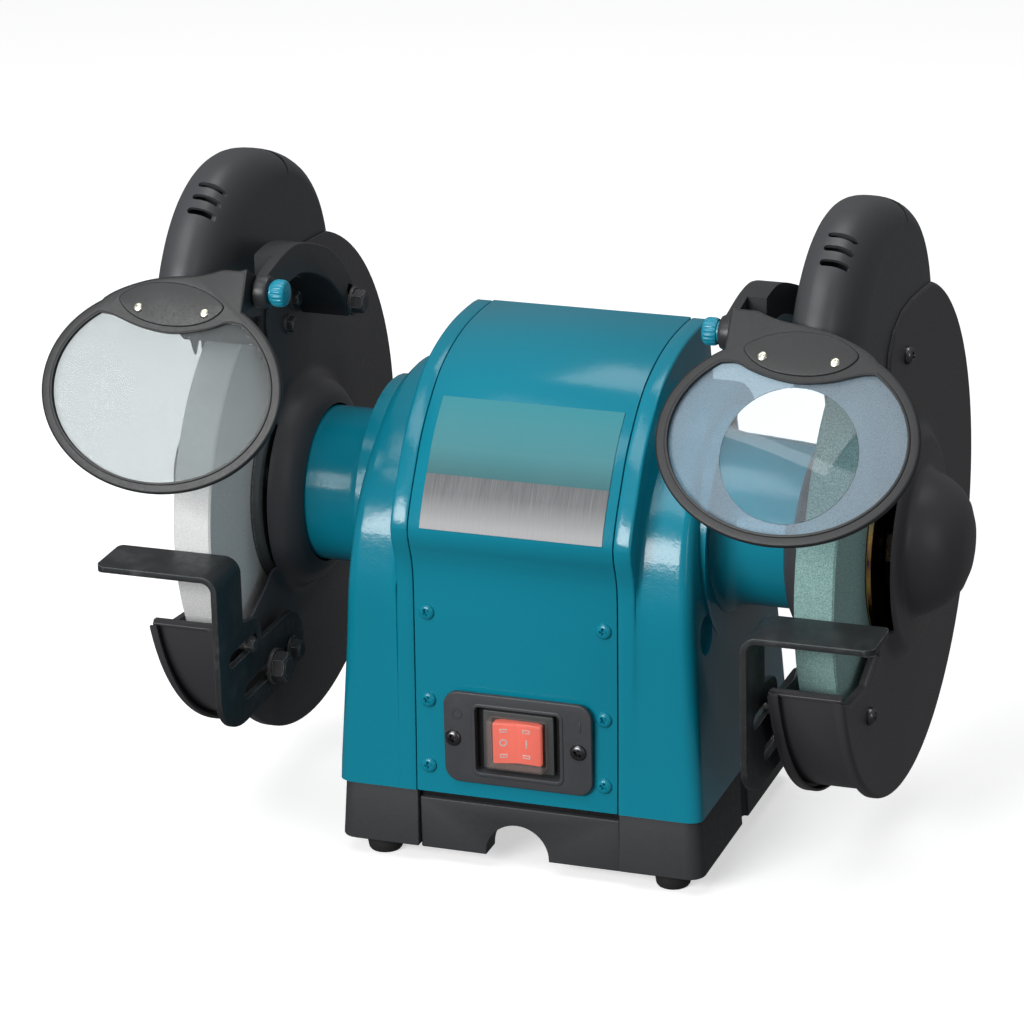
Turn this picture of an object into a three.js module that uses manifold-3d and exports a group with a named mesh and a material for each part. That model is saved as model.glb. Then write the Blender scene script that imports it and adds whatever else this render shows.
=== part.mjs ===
// Bench grinder with two wheels, built as an assembly of separate pieces.
// Millimetres. X runs along the spindle, +X to the operator's right. The operator stands at -Y. +Z is up.
// The model is drawn with the spindle axis at y = 0 and the floor at z = 0, and the whole group is then
// shifted along Y so that the origin lies under the middle of the object's box.
import * as THREE from "three";
import { mergeVertices } from "three/addons/utils/BufferGeometryUtils.js";
import Module from "manifold-3d";

const wasm = await Module();
wasm.setup();

// ---------------------------------------------------------------- driving dimensions
const Y_SHIFT = 22.97; // moves the drawing so that the box is centred on y = 0
const SPINDLE_Z = 163; // spindle height above the floor
const GAP = 0.3; // clearance between pieces that touch

const WHEEL_R = 102.5; // 205 mm wheel
const WHEEL_IN = 144.3; // motor side face of a wheel
const WHEEL_OUT = 163.3; // outer face of a wheel
const BORE_R = 8.2; // bore of wheels and flanges
const SPINDLE_R = 7.9; // spindle where the wheels sit
const SPINDLE_END = 186;

const GUARD_R = 123.3; // guard radius
const PLATE_IN = [136.2, 137.5]; // inner guard plate
const PLATE_OUT = [170.8, 172.3]; // outer cover plate
const STRIP_R = [118.3, 119.8]; // rim strip between the plates
const LIP_R = 121.8; // inner radius of the rolled lips
const ARC_FROM = 197; // start of the closed rim, degrees from +Y towards +Z
const ARC_TO = 422; // its end, near the rear of the hood

const HOOD_X = [137.8, 170.5];
const HOOD_WALL = 1.8;

const BODY_HALF = 92.2; // half width of the housing
const SEAM_X = 51.4; // seam between cover and end casting
const BAND_X = 60; // outer edge of the raised band of the casting
const BODY_Z = 39.7; // underside of the housing
const SWITCH_X = 2.1; // middle of the switch
const TUBE_R = 38.3;
const TUBE_END = 132.8;

const PIVOT = [-97, 292.4]; // eye shield pivot, y and z
const TILT_LEFT = 26.4; // shield tilt from the vertical, degrees, lower edge forward
const TILT_RIGHT = 36.1;
const SHIELD_X = 151.8; // middle of the shield oval
const SHIELD_V = 51.6; // its distance below the pivot, along the shield
const SHIELD_A = 60.3; // half width of the oval
const SHIELD_B = 48.8; // half height of the oval

const REST_Z = 161.2; // top of the tool rests
const REST_T = 3.2; // thickness of the rest bar
const REST_X = 128.1; // motor side face of its leg
const REST_END = 190.5; // outer end of its plate
const REST_FRONT = -134.4;
const REST_REAR = -104.3;

// ---------------------------------------------------------------- helpers
const deg = Math.PI / 180;

// A closed geometry as a solid.
function solid(geometry) {
  const g = geometry.index ? geometry.toNonIndexed() : geometry.clone();
  g.deleteAttribute("normal");
  g.deleteAttribute("uv");
  const m = mergeVertices(g, 1e-3);
  return new wasm.Manifold(
    new wasm.Mesh({
      numProp: 3,
      vertProperties: m.attributes.position.array,
      triVerts: new Uint32Array(m.index.array),
    }),
  );
}

// A solid as a geometry; side -1 mirrors it across the middle plane of the object.
function geometryOf(s, side = 1) {
  const m = s.getMesh(),
    n = m.numProp;
  const position = new Float32Array(m.numVert * 3);
  for (let i = 0; i < m.numVert; i++) {
    position[3 * i] = side * m.vertProperties[i * n];
    position[3 * i + 1] = m.vertProperties[i * n + 1];
    position[3 * i + 2] = m.vertProperties[i * n + 2];
  }
  const index = new Uint32Array(m.triVerts);
  if (side < 0)
    for (let i = 0; i < index.length; i += 3)
      [index[i + 1], index[i + 2]] = [index[i + 2], index[i + 1]];
  const g = new THREE.BufferGeometry()
    .setAttribute("position", new THREE.BufferAttribute(position, 3))
    .setIndex(new THREE.BufferAttribute(index, 1))
    .toNonIndexed();
  g.computeVertexNormals();
  return g;
}

const union = (...all) => all.reduce((a, b) => a.add(b));
const cut = (a, ...tools) => tools.reduce((s, t) => s.subtract(t), a);

// Removes points that lie on a straight line or on top of each other, and turns the outline anticlockwise.
function outline(points) {
  const pts = points.map(([a, b]) => new THREE.Vector2(a, b));
  const kept = pts.filter((p, i) => p.distanceTo(pts[(i + 1) % pts.length]) > 0.02);
  return THREE.ShapeUtils.isClockWise(kept) ? kept.reverse() : kept;
}

function extrusion(points, depth, bevel = 0, bevelSegments = 3) {
  const shape = new THREE.Shape(outline(points));
  return new THREE.ExtrudeGeometry(shape, {
    depth: depth - 2 * bevel,
    steps: 1,
    bevelEnabled: bevel > 0,
    bevelThickness: bevel,
    bevelSize: bevel,
    bevelOffset: -bevel,
    bevelSegments,
    curveSegments: 8,
  }).translate(0, 0, bevel);
}

// A prism along X with its outline in (y, z).
function prismX(points, x0, x1, bevel = 0, bevelSegments = 3) {
  const toX = new THREE.Matrix4().set(0, 0, 1, x0, 1, 0, 0, 0, 0, 1, 0, 0, 0, 0, 0, 1);
  return solid(extrusion(points, x1 - x0, bevel, bevelSegments).applyMatrix4(toX));
}

// A prism along Y with its outline in (x, z).
function prismY(points, y0, y1, bevel = 0, bevelSegments = 3) {
  const toY = new THREE.Matrix4().set(1, 0, 0, 0, 0, 0, -1, y1, 0, 1, 0, 0, 0, 0, 0, 1);
  return solid(extrusion(points, y1 - y0, bevel, bevelSegments).applyMatrix4(toY));
}

// A prism along Z with its outline in (x, y).
function prismZ(points, z0, z1, bevel = 0, bevelSegments = 3) {
  return solid(extrusion(points, z1 - z0, bevel, bevelSegments).translate(0, 0, z0));
}

function box(x0, x1, y0, y1, z0, z1) {
  return solid(
    new THREE.BoxGeometry(x1 - x0, y1 - y0, z1 - z0).translate(
      (x0 + x1) / 2,
      (y0 + y1) / 2,
      (z0 + z1) / 2,
    ),
  );
}

// A turned piece about an axis parallel to X. Its profile is a list of [radius, x].
function turnedX(profile, segments, y = 0, z = SPINDLE_Z) {
  const closed = profile[0][0] > 0.001;
  const pts = profile.map(([r, x]) => new THREE.Vector2(r, x));
  if (closed) pts.push(pts[0].clone());
  const made = solid(
    new THREE.LatheGeometry(pts, segments).rotateZ(-Math.PI / 2).translate(0, y, z),
  );
  if (made.volume() > 0) return made;
  return solid(
    new THREE.LatheGeometry(pts.reverse(), segments).rotateZ(-Math.PI / 2).translate(0, y, z),
  );
}

// A turned piece about a vertical axis. Its profile is a list of [radius, z].
function turnedZ(profile, segments, x, y) {
  const closed = profile[0][0] > 0.001;
  const pts = profile.map(([r, z]) => new THREE.Vector2(r, z));
  if (closed) pts.push(pts[0].clone());
  const make = (p) =>
    solid(new THREE.LatheGeometry(p, segments).rotateX(Math.PI / 2).translate(x, y, 0));
  const made = make(pts);
  return made.volume() > 0 ? made : make(pts.reverse());
}

const discX = (r, x0, x1, y, z, segments = 16) =>
  turnedX([[0, x0], [r, x0], [r, x1], [0, x1]], segments, y, z);

function hexX(acrossFlats, x0, x1, y, z) {
  const r = acrossFlats / Math.sqrt(3);
  const pts = [];
  for (let i = 0; i < 6; i++) pts.push([y + r * Math.cos(i * 60 * deg), z + r * Math.sin(i * 60 * deg)]);
  return prismX(pts, x0, x1);
}

// Points on a circle about the spindle, angles in degrees from +Y towards +Z.
function arc(r, from, to, step) {
  const n = Math.max(1, Math.ceil(Math.abs(to - from) / step));
  const pts = [];
  for (let i = 0; i <= n; i++) {
    const a = (from + ((to - from) * i) / n) * deg;
    pts.push([r * Math.cos(a), SPINDLE_Z + r * Math.sin(a)]);
  }
  return pts;
}

const band = (r0, r1, from, to, step) => [...arc(r1, from, to, step), ...arc(r0, to, from, step)];

// An upright slot outline with round ends, along Y.
function slotY(y0, y1, z0, z1) {
  const r = (z1 - z0) / 2,
    z = (z0 + z1) / 2,
    pts = [];
  for (let i = -3; i <= 3; i++) pts.push([y1 - r + r * Math.cos(i * 30 * deg), z + r * Math.sin(i * 30 * deg)]);
  for (let i = 3; i <= 9; i++) pts.push([y0 + r + r * Math.cos(i * 30 * deg), z + r * Math.sin(i * 30 * deg)]);
  return pts;
}

// Moves an open line sideways to make a strip of a given thickness; offsets are to the left of its direction.
function strip(line, a, b) {
  const side = (d) =>
    line.map((p, i) => {
      const q = line[Math.max(i - 1, 0)],
        r = line[Math.min(i + 1, line.length - 1)];
      const u = [r[0] - q[0], r[1] - q[1]],
        l = Math.hypot(...u);
      return [p[0] - (u[1] / l) * d, p[1] + (u[0] / l) * d];
    });
  return [...side(a), ...side(b).reverse()];
}

// ---------------------------------------------------------------- materials
const mat = (color, roughness, metalness, extra = {}) =>
  new THREE.MeshStandardMaterial({ color, roughness, metalness, ...extra });
const M = {
  paint: mat(0x0f8496, 0.32, 0.1),
  black: mat(0x1d2023, 0.5, 0.25),
  guard: mat(0x2b2e30, 0.6, 0.3),
  steel: mat(0xa9adb0, 0.32, 0.95),
  darkSteel: mat(0x3a3c3e, 0.4, 0.85),
  plastic: mat(0x202326, 0.62, 0.0),
  knob: mat(0x1797b5, 0.4, 0.0),
  rubber: mat(0x151617, 0.85, 0.0),
  white: mat(0xe6e6e2, 0.9, 0.0),
  green: mat(0x6f978c, 0.9, 0.0),
  red: mat(0xd0301f, 0.25, 0.0),
  clear: mat(0xc4c8c8, 0.1, 0.0, { transparent: true, opacity: 0.35 }),
  lens: mat(0xdfe6ea, 0.05, 0.0, { transparent: true, opacity: 0.3 }),
  label: mat(0x8b979b, 0.35, 0.6),
  iron: mat(0x55585a, 0.5, 0.8),
  winding: mat(0xb06a35, 0.45, 0.7),
};

const grinder = new THREE.Group();
grinder.position.y = Y_SHIFT;
function add(name, s, material, side = 1) {
  const mesh = new THREE.Mesh(geometryOf(s, side), material);
  mesh.name = name;
  grinder.add(mesh);
}
const both = (make) => {
  make("left", -1);
  make("right", 1);
};

// ---------------------------------------------------------------- base and feet
add("base_plate", prismZ([[-88, -74], [88, -74], [88, 70], [-88, 70]], 37, BODY_Z - GAP), M.iron);

// A base block: an open box below, with a small upright groove in its outer side.
{
  const outer = box(51.2, 92.5, -80.4, 74, 9.7, BODY_Z - GAP);
  const plateRoom = box(50, 88.4, -74.4, 70.4, 36.7, 41);
  const hollow = box(56.4, 88.5, -56, 54, 9, 33);
  const groove = box(90.3, 93, -12, -1, 9, 41);
  const block = cut(outer, plateRoom, hollow, groove);
  both((n, s) => add("base_block_" + n, block, M.plastic, s));
}

// The front bridge, with a half-round notch.
{
  const notch = [[-17.5, 7]];
  for (let i = 0; i <= 8; i++) notch.push([-1.5 - 16 * Math.cos(i * 22.5 * deg), 9.4 + 16 * Math.sin(i * 22.5 * deg)]);
  notch.push([14.5, 7]);
  const bridge = cut(box(-50.9, 50.9, -77.4, -64, 8.2, 35), prismY(notch, -80, -60));
  add("base_front_bridge", bridge, M.plastic);
}

for (const [n, x, y] of [
  ["foot_front_left", -74, -66],
  ["foot_front_right", 74, -66],
  ["foot_rear_left", -74, 64],
  ["foot_rear_right", 74, 64],
])
  add(n, turnedZ([[0, 0], [7.4, 0], [8.4, 1.2], [9.2, 9.4], [0, 9.4]], 10, x, y), M.rubber);

// ---------------------------------------------------------------- housing
// Front and top line of the cover, from the bottom of the front to the rear top edge.
const COVER_LINE = [
  [-80.7, 40], [-79.3, 69.6], [-77.4, 125], [-76.9, 150], [-78.5, 161.5], [-81.6, 167.7], [-82.6, 175.7],
  [-78, 186.6], [-70, 200], [-59.8, 215], [-46.8, 228], [-32.3, 238.7], [-14.5, 245.5], [5, 249.4], [25, 250.5],
  [44, 250],
];
// Rear line of the housing, from the rear top edge down.
const REAR_LINE = [[44, 249.6], [53.5, 205], [60, 163], [68, 92], [72, 40]];

add("motor_cover", (() => {
  const sheet = prismX(strip(COVER_LINE, 0, -1.5), -SEAM_X + GAP, SEAM_X - GAP);
  return cut(sheet, box(SWITCH_X - 18.4, SWITCH_X + 18.4, -90, -70, 55.9, 87.1));
})(), M.paint);

// Rear panel, a flat sheet that slopes down from the rear top edge, with the gland hole and vent slots.
{
  const line = [[44, 248], ...REAR_LINE.slice(1)];
  let panel = prismX(strip(line, 0, -1.5), -SEAM_X + GAP, SEAM_X - GAP);
  for (let i = 0; i < 3; i++) panel = panel.subtract(box(-28, 28, 30, 90, 108 + 12 * i, 112.5 + 12 * i));
  panel = panel.subtract(
    solid(new THREE.CylinderGeometry(8.3, 8.3, 60, 12).translate(0, 70, 68)),
  );
  add("rear_panel", panel, M.paint);
}

// Cable inlet: a flanged bush in the rear panel, open right through.
add("cable_gland", (() => {
  const profile = [[4, 62], [7.9, 62], [7.9, 72.4], [11, 72.4], [10.4, 75], [7.2, 88], [4, 88]];
  const pts = profile.map(([r, y]) => new THREE.Vector2(r, y));
  pts.push(pts[0].clone());
  let g = new THREE.LatheGeometry(pts, 12).translate(0, 0, 68);
  let s = solid(g);
  if (s.volume() < 0) s = solid(new THREE.LatheGeometry(pts.reverse(), 12).translate(0, 0, 68));
  return s;
})(), M.rubber);

// End casting: a raised band beside the cover, a lower shoulder outboard of it, a hollow inside,
// a ring that holds the stator, and the bearing tube.
const SHOULDER = [
  [-80.6, BODY_Z], [-79.2, 69.6], [-77.1, 118], [-76, 140], [-73, 153.5], [-68, 172], [-58, 189], [-43.5, 204], [-27, 216], [-12, 222.5],
  [6, 224.5], [30, 224.5], [44, 219], [53.5, 205], [60, 163], [68, 92], [72, BODY_Z],
];
{
  const bandPts = [[-80.7, BODY_Z], ...COVER_LINE.slice(1), ...REAR_LINE.slice(1, -1), [72, BODY_Z]];
  const bandSolid = prismX(bandPts, SEAM_X, BAND_X);
  const shoulder = prismX(SHOULDER, 54, BODY_HALF, 5, 1);
  const skirt = prismX([[-78.4, BODY_Z], [-78.2, 60], [69, 60], [71.8, BODY_Z]], 54, 90.5);
  // the side face leans inwards towards the top
  const lean = (d) => prismY([[92.2, 45], [91, 92], [89.8, 124], [88.2, 152], [86.2, 181], [83.6, 210], [81.5, 230]].map(([x, z]) => [x - d, z]).concat([[120, 230], [120, 45]]), -120, 120);
  const room = cut(prismX(
    [[-73.5, 30], [-71.6, 140], [-63, 170], [-52, 187], [-39, 200], [-24, 211], [-11, 217.5], [7, 219.5], [29, 219.5], [40, 216], [48.5, 204], [55, 163], [63, 92], [66, 30]],
    40, 86.5,
  ), lean(5.7));
  const bandRoom = prismX(
    strip([[-74, 30], [-71.5, 150], [-76, 168], [-73, 184], [-56, 211], [-30, 233], [5, 244.5], [39, 244.6], [55, 163], [63, 92], [66, 30]], 0, 0.01)
      .slice(0, 11),
    40, BAND_X - 4,
  );
  const shell = cut(
    union(bandSolid, shoulder, skirt),
    lean(0),
    room,
    bandRoom,
    discX(33.2, 80, 100, 0, SPINDLE_Z, 22),
    discX(9.5, 80, 100, -54.5, 126, 12),
  );
  // flange behind the cover edge, for the front screws
  const flange = prismX([[-78.6, 42], [-77.2, 69.6], [-75.5, 120], [-75.3, 136], [-71.3, 136], [-71.5, 100], [-73.5, 42]], 39, 53);
  const ring = turnedX([[54.3, 30], [57, 30], [57, 88], [54.3, 88]], 20);
  const tube = turnedX(
    [[43.5, 84], [43.5, 88.6], [40.2, 91.4], [TUBE_R, 96], [TUBE_R, TUBE_END], [33, TUBE_END], [33, 116], [23.8, 116], [23.8, 98], [18, 98], [18, 95], [33, 95], [33, 84]],
    22,
  );
  const casting = union(shell, flange, ring, tube);
  both((n, s) => add("end_casting_" + n, casting, M.paint, s));
}

// Label plate, bare, wrapped over the lower arch of the cover.
{
  const line = [[-82.9, 176.2], [-78, 186.6], [-70, 200], [-59.8, 215], [-46.8, 228]];
  add("label_plate", prismX(strip(line, GAP + 0.6, GAP + 0.05), -46, 46), M.label);
}

// ---------------------------------------------------------------- switch
{
  const plate = cut(
    box(SWITCH_X - 37.4, SWITCH_X + 37.4, -83.2, -80.95, 48.2, 95),
    box(SWITCH_X - 21.8, SWITCH_X + 21.8, -90, -81.9, 54, 88.8),
    box(SWITCH_X - 18.2, SWITCH_X + 18.2, -90, -70, 56.1, 86.9),
  );
  add("switch_plate", plate, M.plastic);
  const bodyBox = cut(
    box(SWITCH_X - 17.8, SWITCH_X + 17.8, -81.6, -50, 56.5, 86.5),
    box(SWITCH_X - 13.6, SWITCH_X + 13.6, -90, -74, 60, 83),
  );
  add("switch_body", bodyBox, M.plastic);
  // rocker: a shallow V seen from above, it tips about an upright axis
  const rocker = prismZ(
    [[-12, -85.6], [0, -82.6], [12, -83.2], [12, -80.5], [5, -76], [-5, -76], [-12, -80.5]].map(([x, y]) => [x + SWITCH_X, y]),
    61, 82,
  );
  add("switch_rocker", rocker, M.red);
  const shell = cut(
    box(SWITCH_X - 14.3, SWITCH_X + 14.3, -88.6, -81.7, 59, 84),
    box(SWITCH_X - 13.3, SWITCH_X + 13.3, -87.6, -80, 60, 83),
  );
  add("switch_cover", shell, M.clear);
}

// ---------------------------------------------------------------- motor
add("spindle_shaft", turnedX(
  [[0, -SPINDLE_END], [7, -SPINDLE_END], [SPINDLE_R, -SPINDLE_END + 1], [SPINDLE_R, -138.9], [9.98, -138.9], [9.98, -90], [12, -90],
    [12, 90], [9.98, 90], [9.98, 138.9], [SPINDLE_R, 138.9], [SPINDLE_R, SPINDLE_END - 1], [7, SPINDLE_END], [0, SPINDLE_END]],
  14,
), M.steel);
add("rotor", turnedX([[12.3, -45], [24, -45], [24, -52], [30, -52], [32, -45], [32, 45], [30, 52], [24, 52], [24, 45], [12.3, 45]], 16), M.iron);
add("stator", turnedX([[32.6, -44], [36, -60], [48, -60], [50, -44], [54, -44], [54, 44], [50, 44], [48, 60], [36, 60], [32.6, 44]], 20), M.iron);
both((n, s) => add("bearing_" + n, turnedX([[10.3, 98.4], [23.5, 98.4], [23.5, 112.4], [10.3, 112.4]], 16), M.steel, s));
add("capacitor", discX(16, -32, 32, 18, 62, 12), M.plastic);

// ---------------------------------------------------------------- wheels and flanges
both((n, s) => {
  add("wheel_" + n, turnedX([[BORE_R, WHEEL_IN], [101.3, WHEEL_IN], [WHEEL_R, WHEEL_IN + 1.2], [WHEEL_R, WHEEL_OUT - 1.2], [101.3, WHEEL_OUT], [BORE_R, WHEEL_OUT]], 40), s < 0 ? M.white : M.green, s);
  add("inner_flange_" + n, turnedX([[BORE_R, 139.2], [22, 139.2], [49.6, 139.6], [51.4, 144], [42, 144], [38, 142.6], [BORE_R, 142.6]], 20), M.darkSteel, s);
  add("outer_flange_" + n, turnedX([[BORE_R, 167.2], [22, 167.2], [45, 166.4], [47, 163.6], [38, 163.6], [32, 164.8], [BORE_R, 164.8]], 18), M.darkSteel, s);
  add("spindle_nut_" + n, cut(hexX(24, 167.5, 178.5, 0, SPINDLE_Z), discX(BORE_R, 160, 190, 0, SPINDLE_Z, 12)), M.steel, s);
});

// ---------------------------------------------------------------- guards
// Outline of both guard plates: the disc, less its open front.
const plateFront = [
  [-103.8, 121], [-75, 118], [-57, 125.5], [-33, 138], [-33, 190], [-36, 215], [-40.5, 256],
  [-37.9, 268.5], [-29.2, 276.5], [-13.1, 281.8], [3.4, 282.6], [24, 281.2],
];
const plateOutline = [...arc(GUARD_R, ARC_FROM, ARC_TO, 11.25), ...arc(GUARD_R, ARC_TO, 431, 4.5).slice(1), ...[...plateFront].reverse()];
// the open front beside the outline, where the rings of the dish and the plateau don't go on
const openFront = (x0, x1) => prismX(
  [[-33.06, 138.02], [-57.02, 125.56], [-75, 118.07], [-95, 120], [-95, 215], [-36.06, 215], [-33.06, 190]], x0, x1,
);
const slit = (y, z, r) => discX(r, 130, 180, y, z, 10);
// clamp and guide holes of the rest, holes for the hood bolts and the cover screws
const CLAMP = [-70, 91.5];
const LOCK = [-47, 91.5];
const GUIDE = [-98, 114];
const FOOT_BOLT = [8, 255.5];
const COVER_SCREW = [-8.6, 258.5];
const LOW_SCREW = [-72.7, 102.4];

{
  const plate = prismX(plateOutline, ...PLATE_IN);
  const lip = prismX(band(LIP_R, GUARD_R, ARC_FROM, ARC_TO, 11.25), PLATE_IN[0] + 0.2, PLATE_IN[1] + 3.5);
  const rim = prismX(band(STRIP_R[0], STRIP_R[1], ARC_FROM, ARC_TO, 11.25), PLATE_IN[0] + 0.2, PLATE_OUT[0] - GAP);
  // folded end of the rim strip, across the mouth of the pocket
  const fold = prismX([[-115, 126], [-111, 127.4], [-111, 125.6], [-114.5, 124.2]], PLATE_IN[0] + 0.2, PLATE_OUT[0] - GAP);
  const a = Math.atan2(LOW_SCREW[1] - SPINDLE_Z, LOW_SCREW[0]);
  const u = [Math.cos(a), Math.sin(a)];
  const at = (r, t) => [r * u[0] - t * u[1], SPINDLE_Z + r * u[1] + t * u[0]];
  const tab = prismX([at(88, -7), at(119, -7), at(119, 7), at(88, 7)], 168.7, PLATE_OUT[0] - GAP);
  const dish = turnedX(
    [[39.4, 121.6], [44, 122.9], [48, 125.8], [51.2, 129.6], [53.5, 133], [57, 136.2], [60, 136.2], [60, 137.5],
      [56.3, 137.5], [52.6, 134.6], [20, 134.6], [20, 133.1], [51.3, 133.1], [49.7, 130.5], [46.8, 127.2], [43.3, 124.5], [39.4, 123.2]],
    22,
  );
  const guard = cut(
    union(cut(plate, discX(58, 130, 140, 0, SPINDLE_Z, 22)), lip, rim, fold, dish, tab),
    openFront(134.7, 137.6),
    slit(...CLAMP, 4), slit(...LOCK, 3.5), slit(...GUIDE, 3), slit(...FOOT_BOLT, 3.3), discX(2.3, 165, 180, ...LOW_SCREW, 8),
  );
  both((n, s) => add("inner_guard_" + n, guard, M.guard, s));
}
{
  const plate = prismX(plateOutline, ...PLATE_OUT);
  const lip = prismX(band(LIP_R, GUARD_R, ARC_FROM, ARC_TO, 11.25), 167.8, PLATE_OUT[1] - 0.2);
  const dome = turnedX(
    [[64, 172.3], [56, 172.3], [49, 178], [37, 178], [33.2, 184.6], [27, 195], [15, 201], [0, 202.4],
      [0, 200.9], [14.3, 199.6], [25.8, 194], [31.7, 184], [36.2, 176.5], [48.4, 176.5], [55.2, 170.8], [64, 170.8]].reverse(),
    22,
  );
  const cover = cut(
    union(cut(plate, discX(62, 165, 175, 0, SPINDLE_Z, 22)), lip, dome),
    openFront(165, 176.4),
    discX(2.3, 165, 180, ...COVER_SCREW, 8), discX(2.3, 165, 180, ...LOW_SCREW, 8),
  );
  both((n, s) => add("outer_cover_" + n, cover, M.guard, s));
}
both((n, s) =>
  add("cover_screw_" + n, union(discX(4, 172.6, 174.8, ...COVER_SCREW, 10), discX(2, 166, 173, ...COVER_SCREW, 8)), M.darkSteel, s),
);

// Dust hood: a humped shell between the guard plates, open below and towards the wheel.
const HOOD_LINE = [
  [46, 226], [49.2, 236.9], [53, 256.8], [51.4, 277.8], [43.4, 297.9], [29.3, 314.7], [10.9, 327], [-10, 335],
  [-32.8, 339.1], [-56.8, 337.4], [-79.5, 327.8], [-97.5, 310.8], [-109, 289.2], [-113.7, 265.6], [-112.4, 242.4], [-106.4, 220.4],
];
// How far the sides round over at each point of the line: a tight edge at the rear, a broad one in front.
const HOOD_ROUND = [10, 10, 10, 10, 10, 10, 11, 13.5, 19, 25, 30, 33, 34, 34, 34, 34];
{
  const [cx, cz] = [-30.3, 256];
  const line = [...HOOD_LINE, [-60, 160], [10, 160]];
  const depth = [...HOOD_ROUND, 20, 10];
  const steps = [-1, -0.97, -0.88, -0.7, -0.42, -0.12, 0.12, 0.42, 0.7, 0.88, 0.97, 1];
  // the humped shape, with its outline moved inwards by inset
  function hump(x0, x1, inset) {
    const mid = (x0 + x1) / 2, half = (x1 - x0) / 2, count = line.length;
    const position = [], index = [];
    for (const t of steps) {
      const f = 1 - Math.sqrt(1 - Math.min(1, Math.abs(t) ** 2.6));
      line.forEach(([y, z], i) => {
        const l = Math.hypot(y - cx, z - cz), d = inset + depth[i] * f;
        position.push(mid + half * t, y - ((y - cx) / l) * d, z - ((z - cz) / l) * d);
      });
    }
    for (let k = 0; k + 1 < steps.length; k++)
      for (let i = 0; i < count; i++) {
        const a = k * count + i, b = k * count + ((i + 1) % count), c = b + count, d = a + count;
        index.push(a, c, b, a, d, c);
      }
    const last = (steps.length - 1) * count;
    for (const [start, flip] of [[0, false], [last, true]]) {
      const ring = line.map((_, i) => new THREE.Vector2(position[3 * (start + i) + 1], position[3 * (start + i) + 2]));
      for (const [p, q, r] of THREE.ShapeUtils.triangulateShape(ring, []))
        index.push(...(flip ? [start + p, start + r, start + q] : [start + p, start + q, start + r]));
    }
    const make = (tris) =>
      new wasm.Manifold(new wasm.Mesh({ numProp: 3, vertProperties: new Float32Array(position), triVerts: new Uint32Array(tris) }));
    const made = make(index);
    if (made.volume() > 0) return made;
    for (let i = 0; i < index.length; i += 3) [index[i + 1], index[i + 2]] = [index[i + 2], index[i + 1]];
    return make(index);
  }
  const outer = hump(...HOOD_X, 0);
  const inner = hump(HOOD_X[0] + HOOD_WALL, HOOD_X[1] - HOOD_WALL, HOOD_WALL);
  const mouth = prismX([[-130, 281], [-112, 277.5], [-44, 262], [-32, 140], [-130, 140]], 130, 180);
  let hood = cut(
    outer,
    inner,
    mouth,
    discX(86, 130, 180, 0, SPINDLE_Z, 20),
    discX(106, HOOD_X[0] + HOOD_WALL, HOOD_X[1] - HOOD_WALL, 0, SPINDLE_Z, 24),
    prismX([[0, 150], [90, 150], [90, 225], [40, 240], [0, 240]], 130, 180),
    slit(...FOOT_BOLT, 3.3),
    discX(2.3, 165, 180, ...COVER_SCREW, 8),
  );
  // inner web that carries the spark arrester
  const web = box(138.5, 169.8, -63.4, -61.8, 272, 337).intersect(outer);
  hood = union(hood, web);
  const parts = hood.decompose();
  parts.sort((p, q) => q.volume() - p.volume());
  both((n, s) => add("hood_" + n, parts[0], M.black, s));
}

// Spark arrester: a blade above the wheel, wider below the hood, with a pointer beside the wheel.
{
  const y0 = -61.5,
    y1 = -60;
  const blade = prismY(
    [[132.6, 252.6], [163.6, 252.6], [165.6, 243.8], [167.6, 252.6], [171, 252.6], [174, 256], [174, 259.6], [167, 259.6], [167, 290], [141.3, 290], [141.3, 259.6], [132.6, 259.6]],
    y0, y1,
  );
  both((n, s) => add("spark_arrester_" + n, blade, M.guard, s));
}

// ---------------------------------------------------------------- eye shields
{
  const arch = [
    [-99, 300.1], [-89.7, 302], [-76, 304.3], [-61.4, 304.8], [-49.7, 302.5], [-36.5, 298], [-22, 292], [-7.3, 282.4],
    [2.7, 273], [11.3, 263], [16.5, 256], [15, 251.5], [11.7, 249.3], [2.1, 249.5], [0.4, 254], [-7.6, 263.3],
    [-19, 273.4], [-30.7, 280], [-44, 285.7], [-57, 289], [-73.5, 288.7], [-86, 286.5], [-95, 284.7],
  ];
  const body = union(prismX(arch, 111, 135.8), discX(8, 111, 116, ...PIVOT, 20));
  const bracket = cut(
    body,
    prismX([[-120, 270], [-80, 270], [-78, 315], [-120, 315]], 116, 140),
    prismX([[-90, 270], [-22, 270], [-22, 315], [-90, 315]], 125, 140),
    discX(3.4, 105, 130, ...PIVOT, 12),
    union(discX(3.2, 105, 140, ...FOOT_BOLT, 10), discX(3.2, 105, 113.5, 4.6, 264, 10), prismX([[5, 254.3], [1.6, 262.9], [7.6, 265.1], [11, 256.7]], 105, 113.5)),
  );
  both((n, s) => {
    add("shield_bracket_" + n, bracket, M.black, s);
    add("bracket_bolt_" + n, union(
      hexX(10, 104.4, 109.4, ...FOOT_BOLT),
      discX(7.2, 109.3, 110.7, ...FOOT_BOLT, 16),
      discX(2.8, 110, 143, ...FOOT_BOLT, 10),
      hexX(8, 139.9, 142.6, ...FOOT_BOLT),
    ), M.darkSteel, s);
    add("shield_knob_" + n, union(
      turnedX([[0, 101], [5.2, 101], [6.5, 102.2], [6.5, 107.2], [5.6, 108.4], [3, 108.4], [3, 123.6], [0, 123.6]], 16, ...PIVOT),
      discX(5, 108, 110.7, ...PIVOT, 12),
      discX(5.2, 120.3, 123.6, ...PIVOT, 12),
    ), M.knob, s);
  });
}

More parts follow.
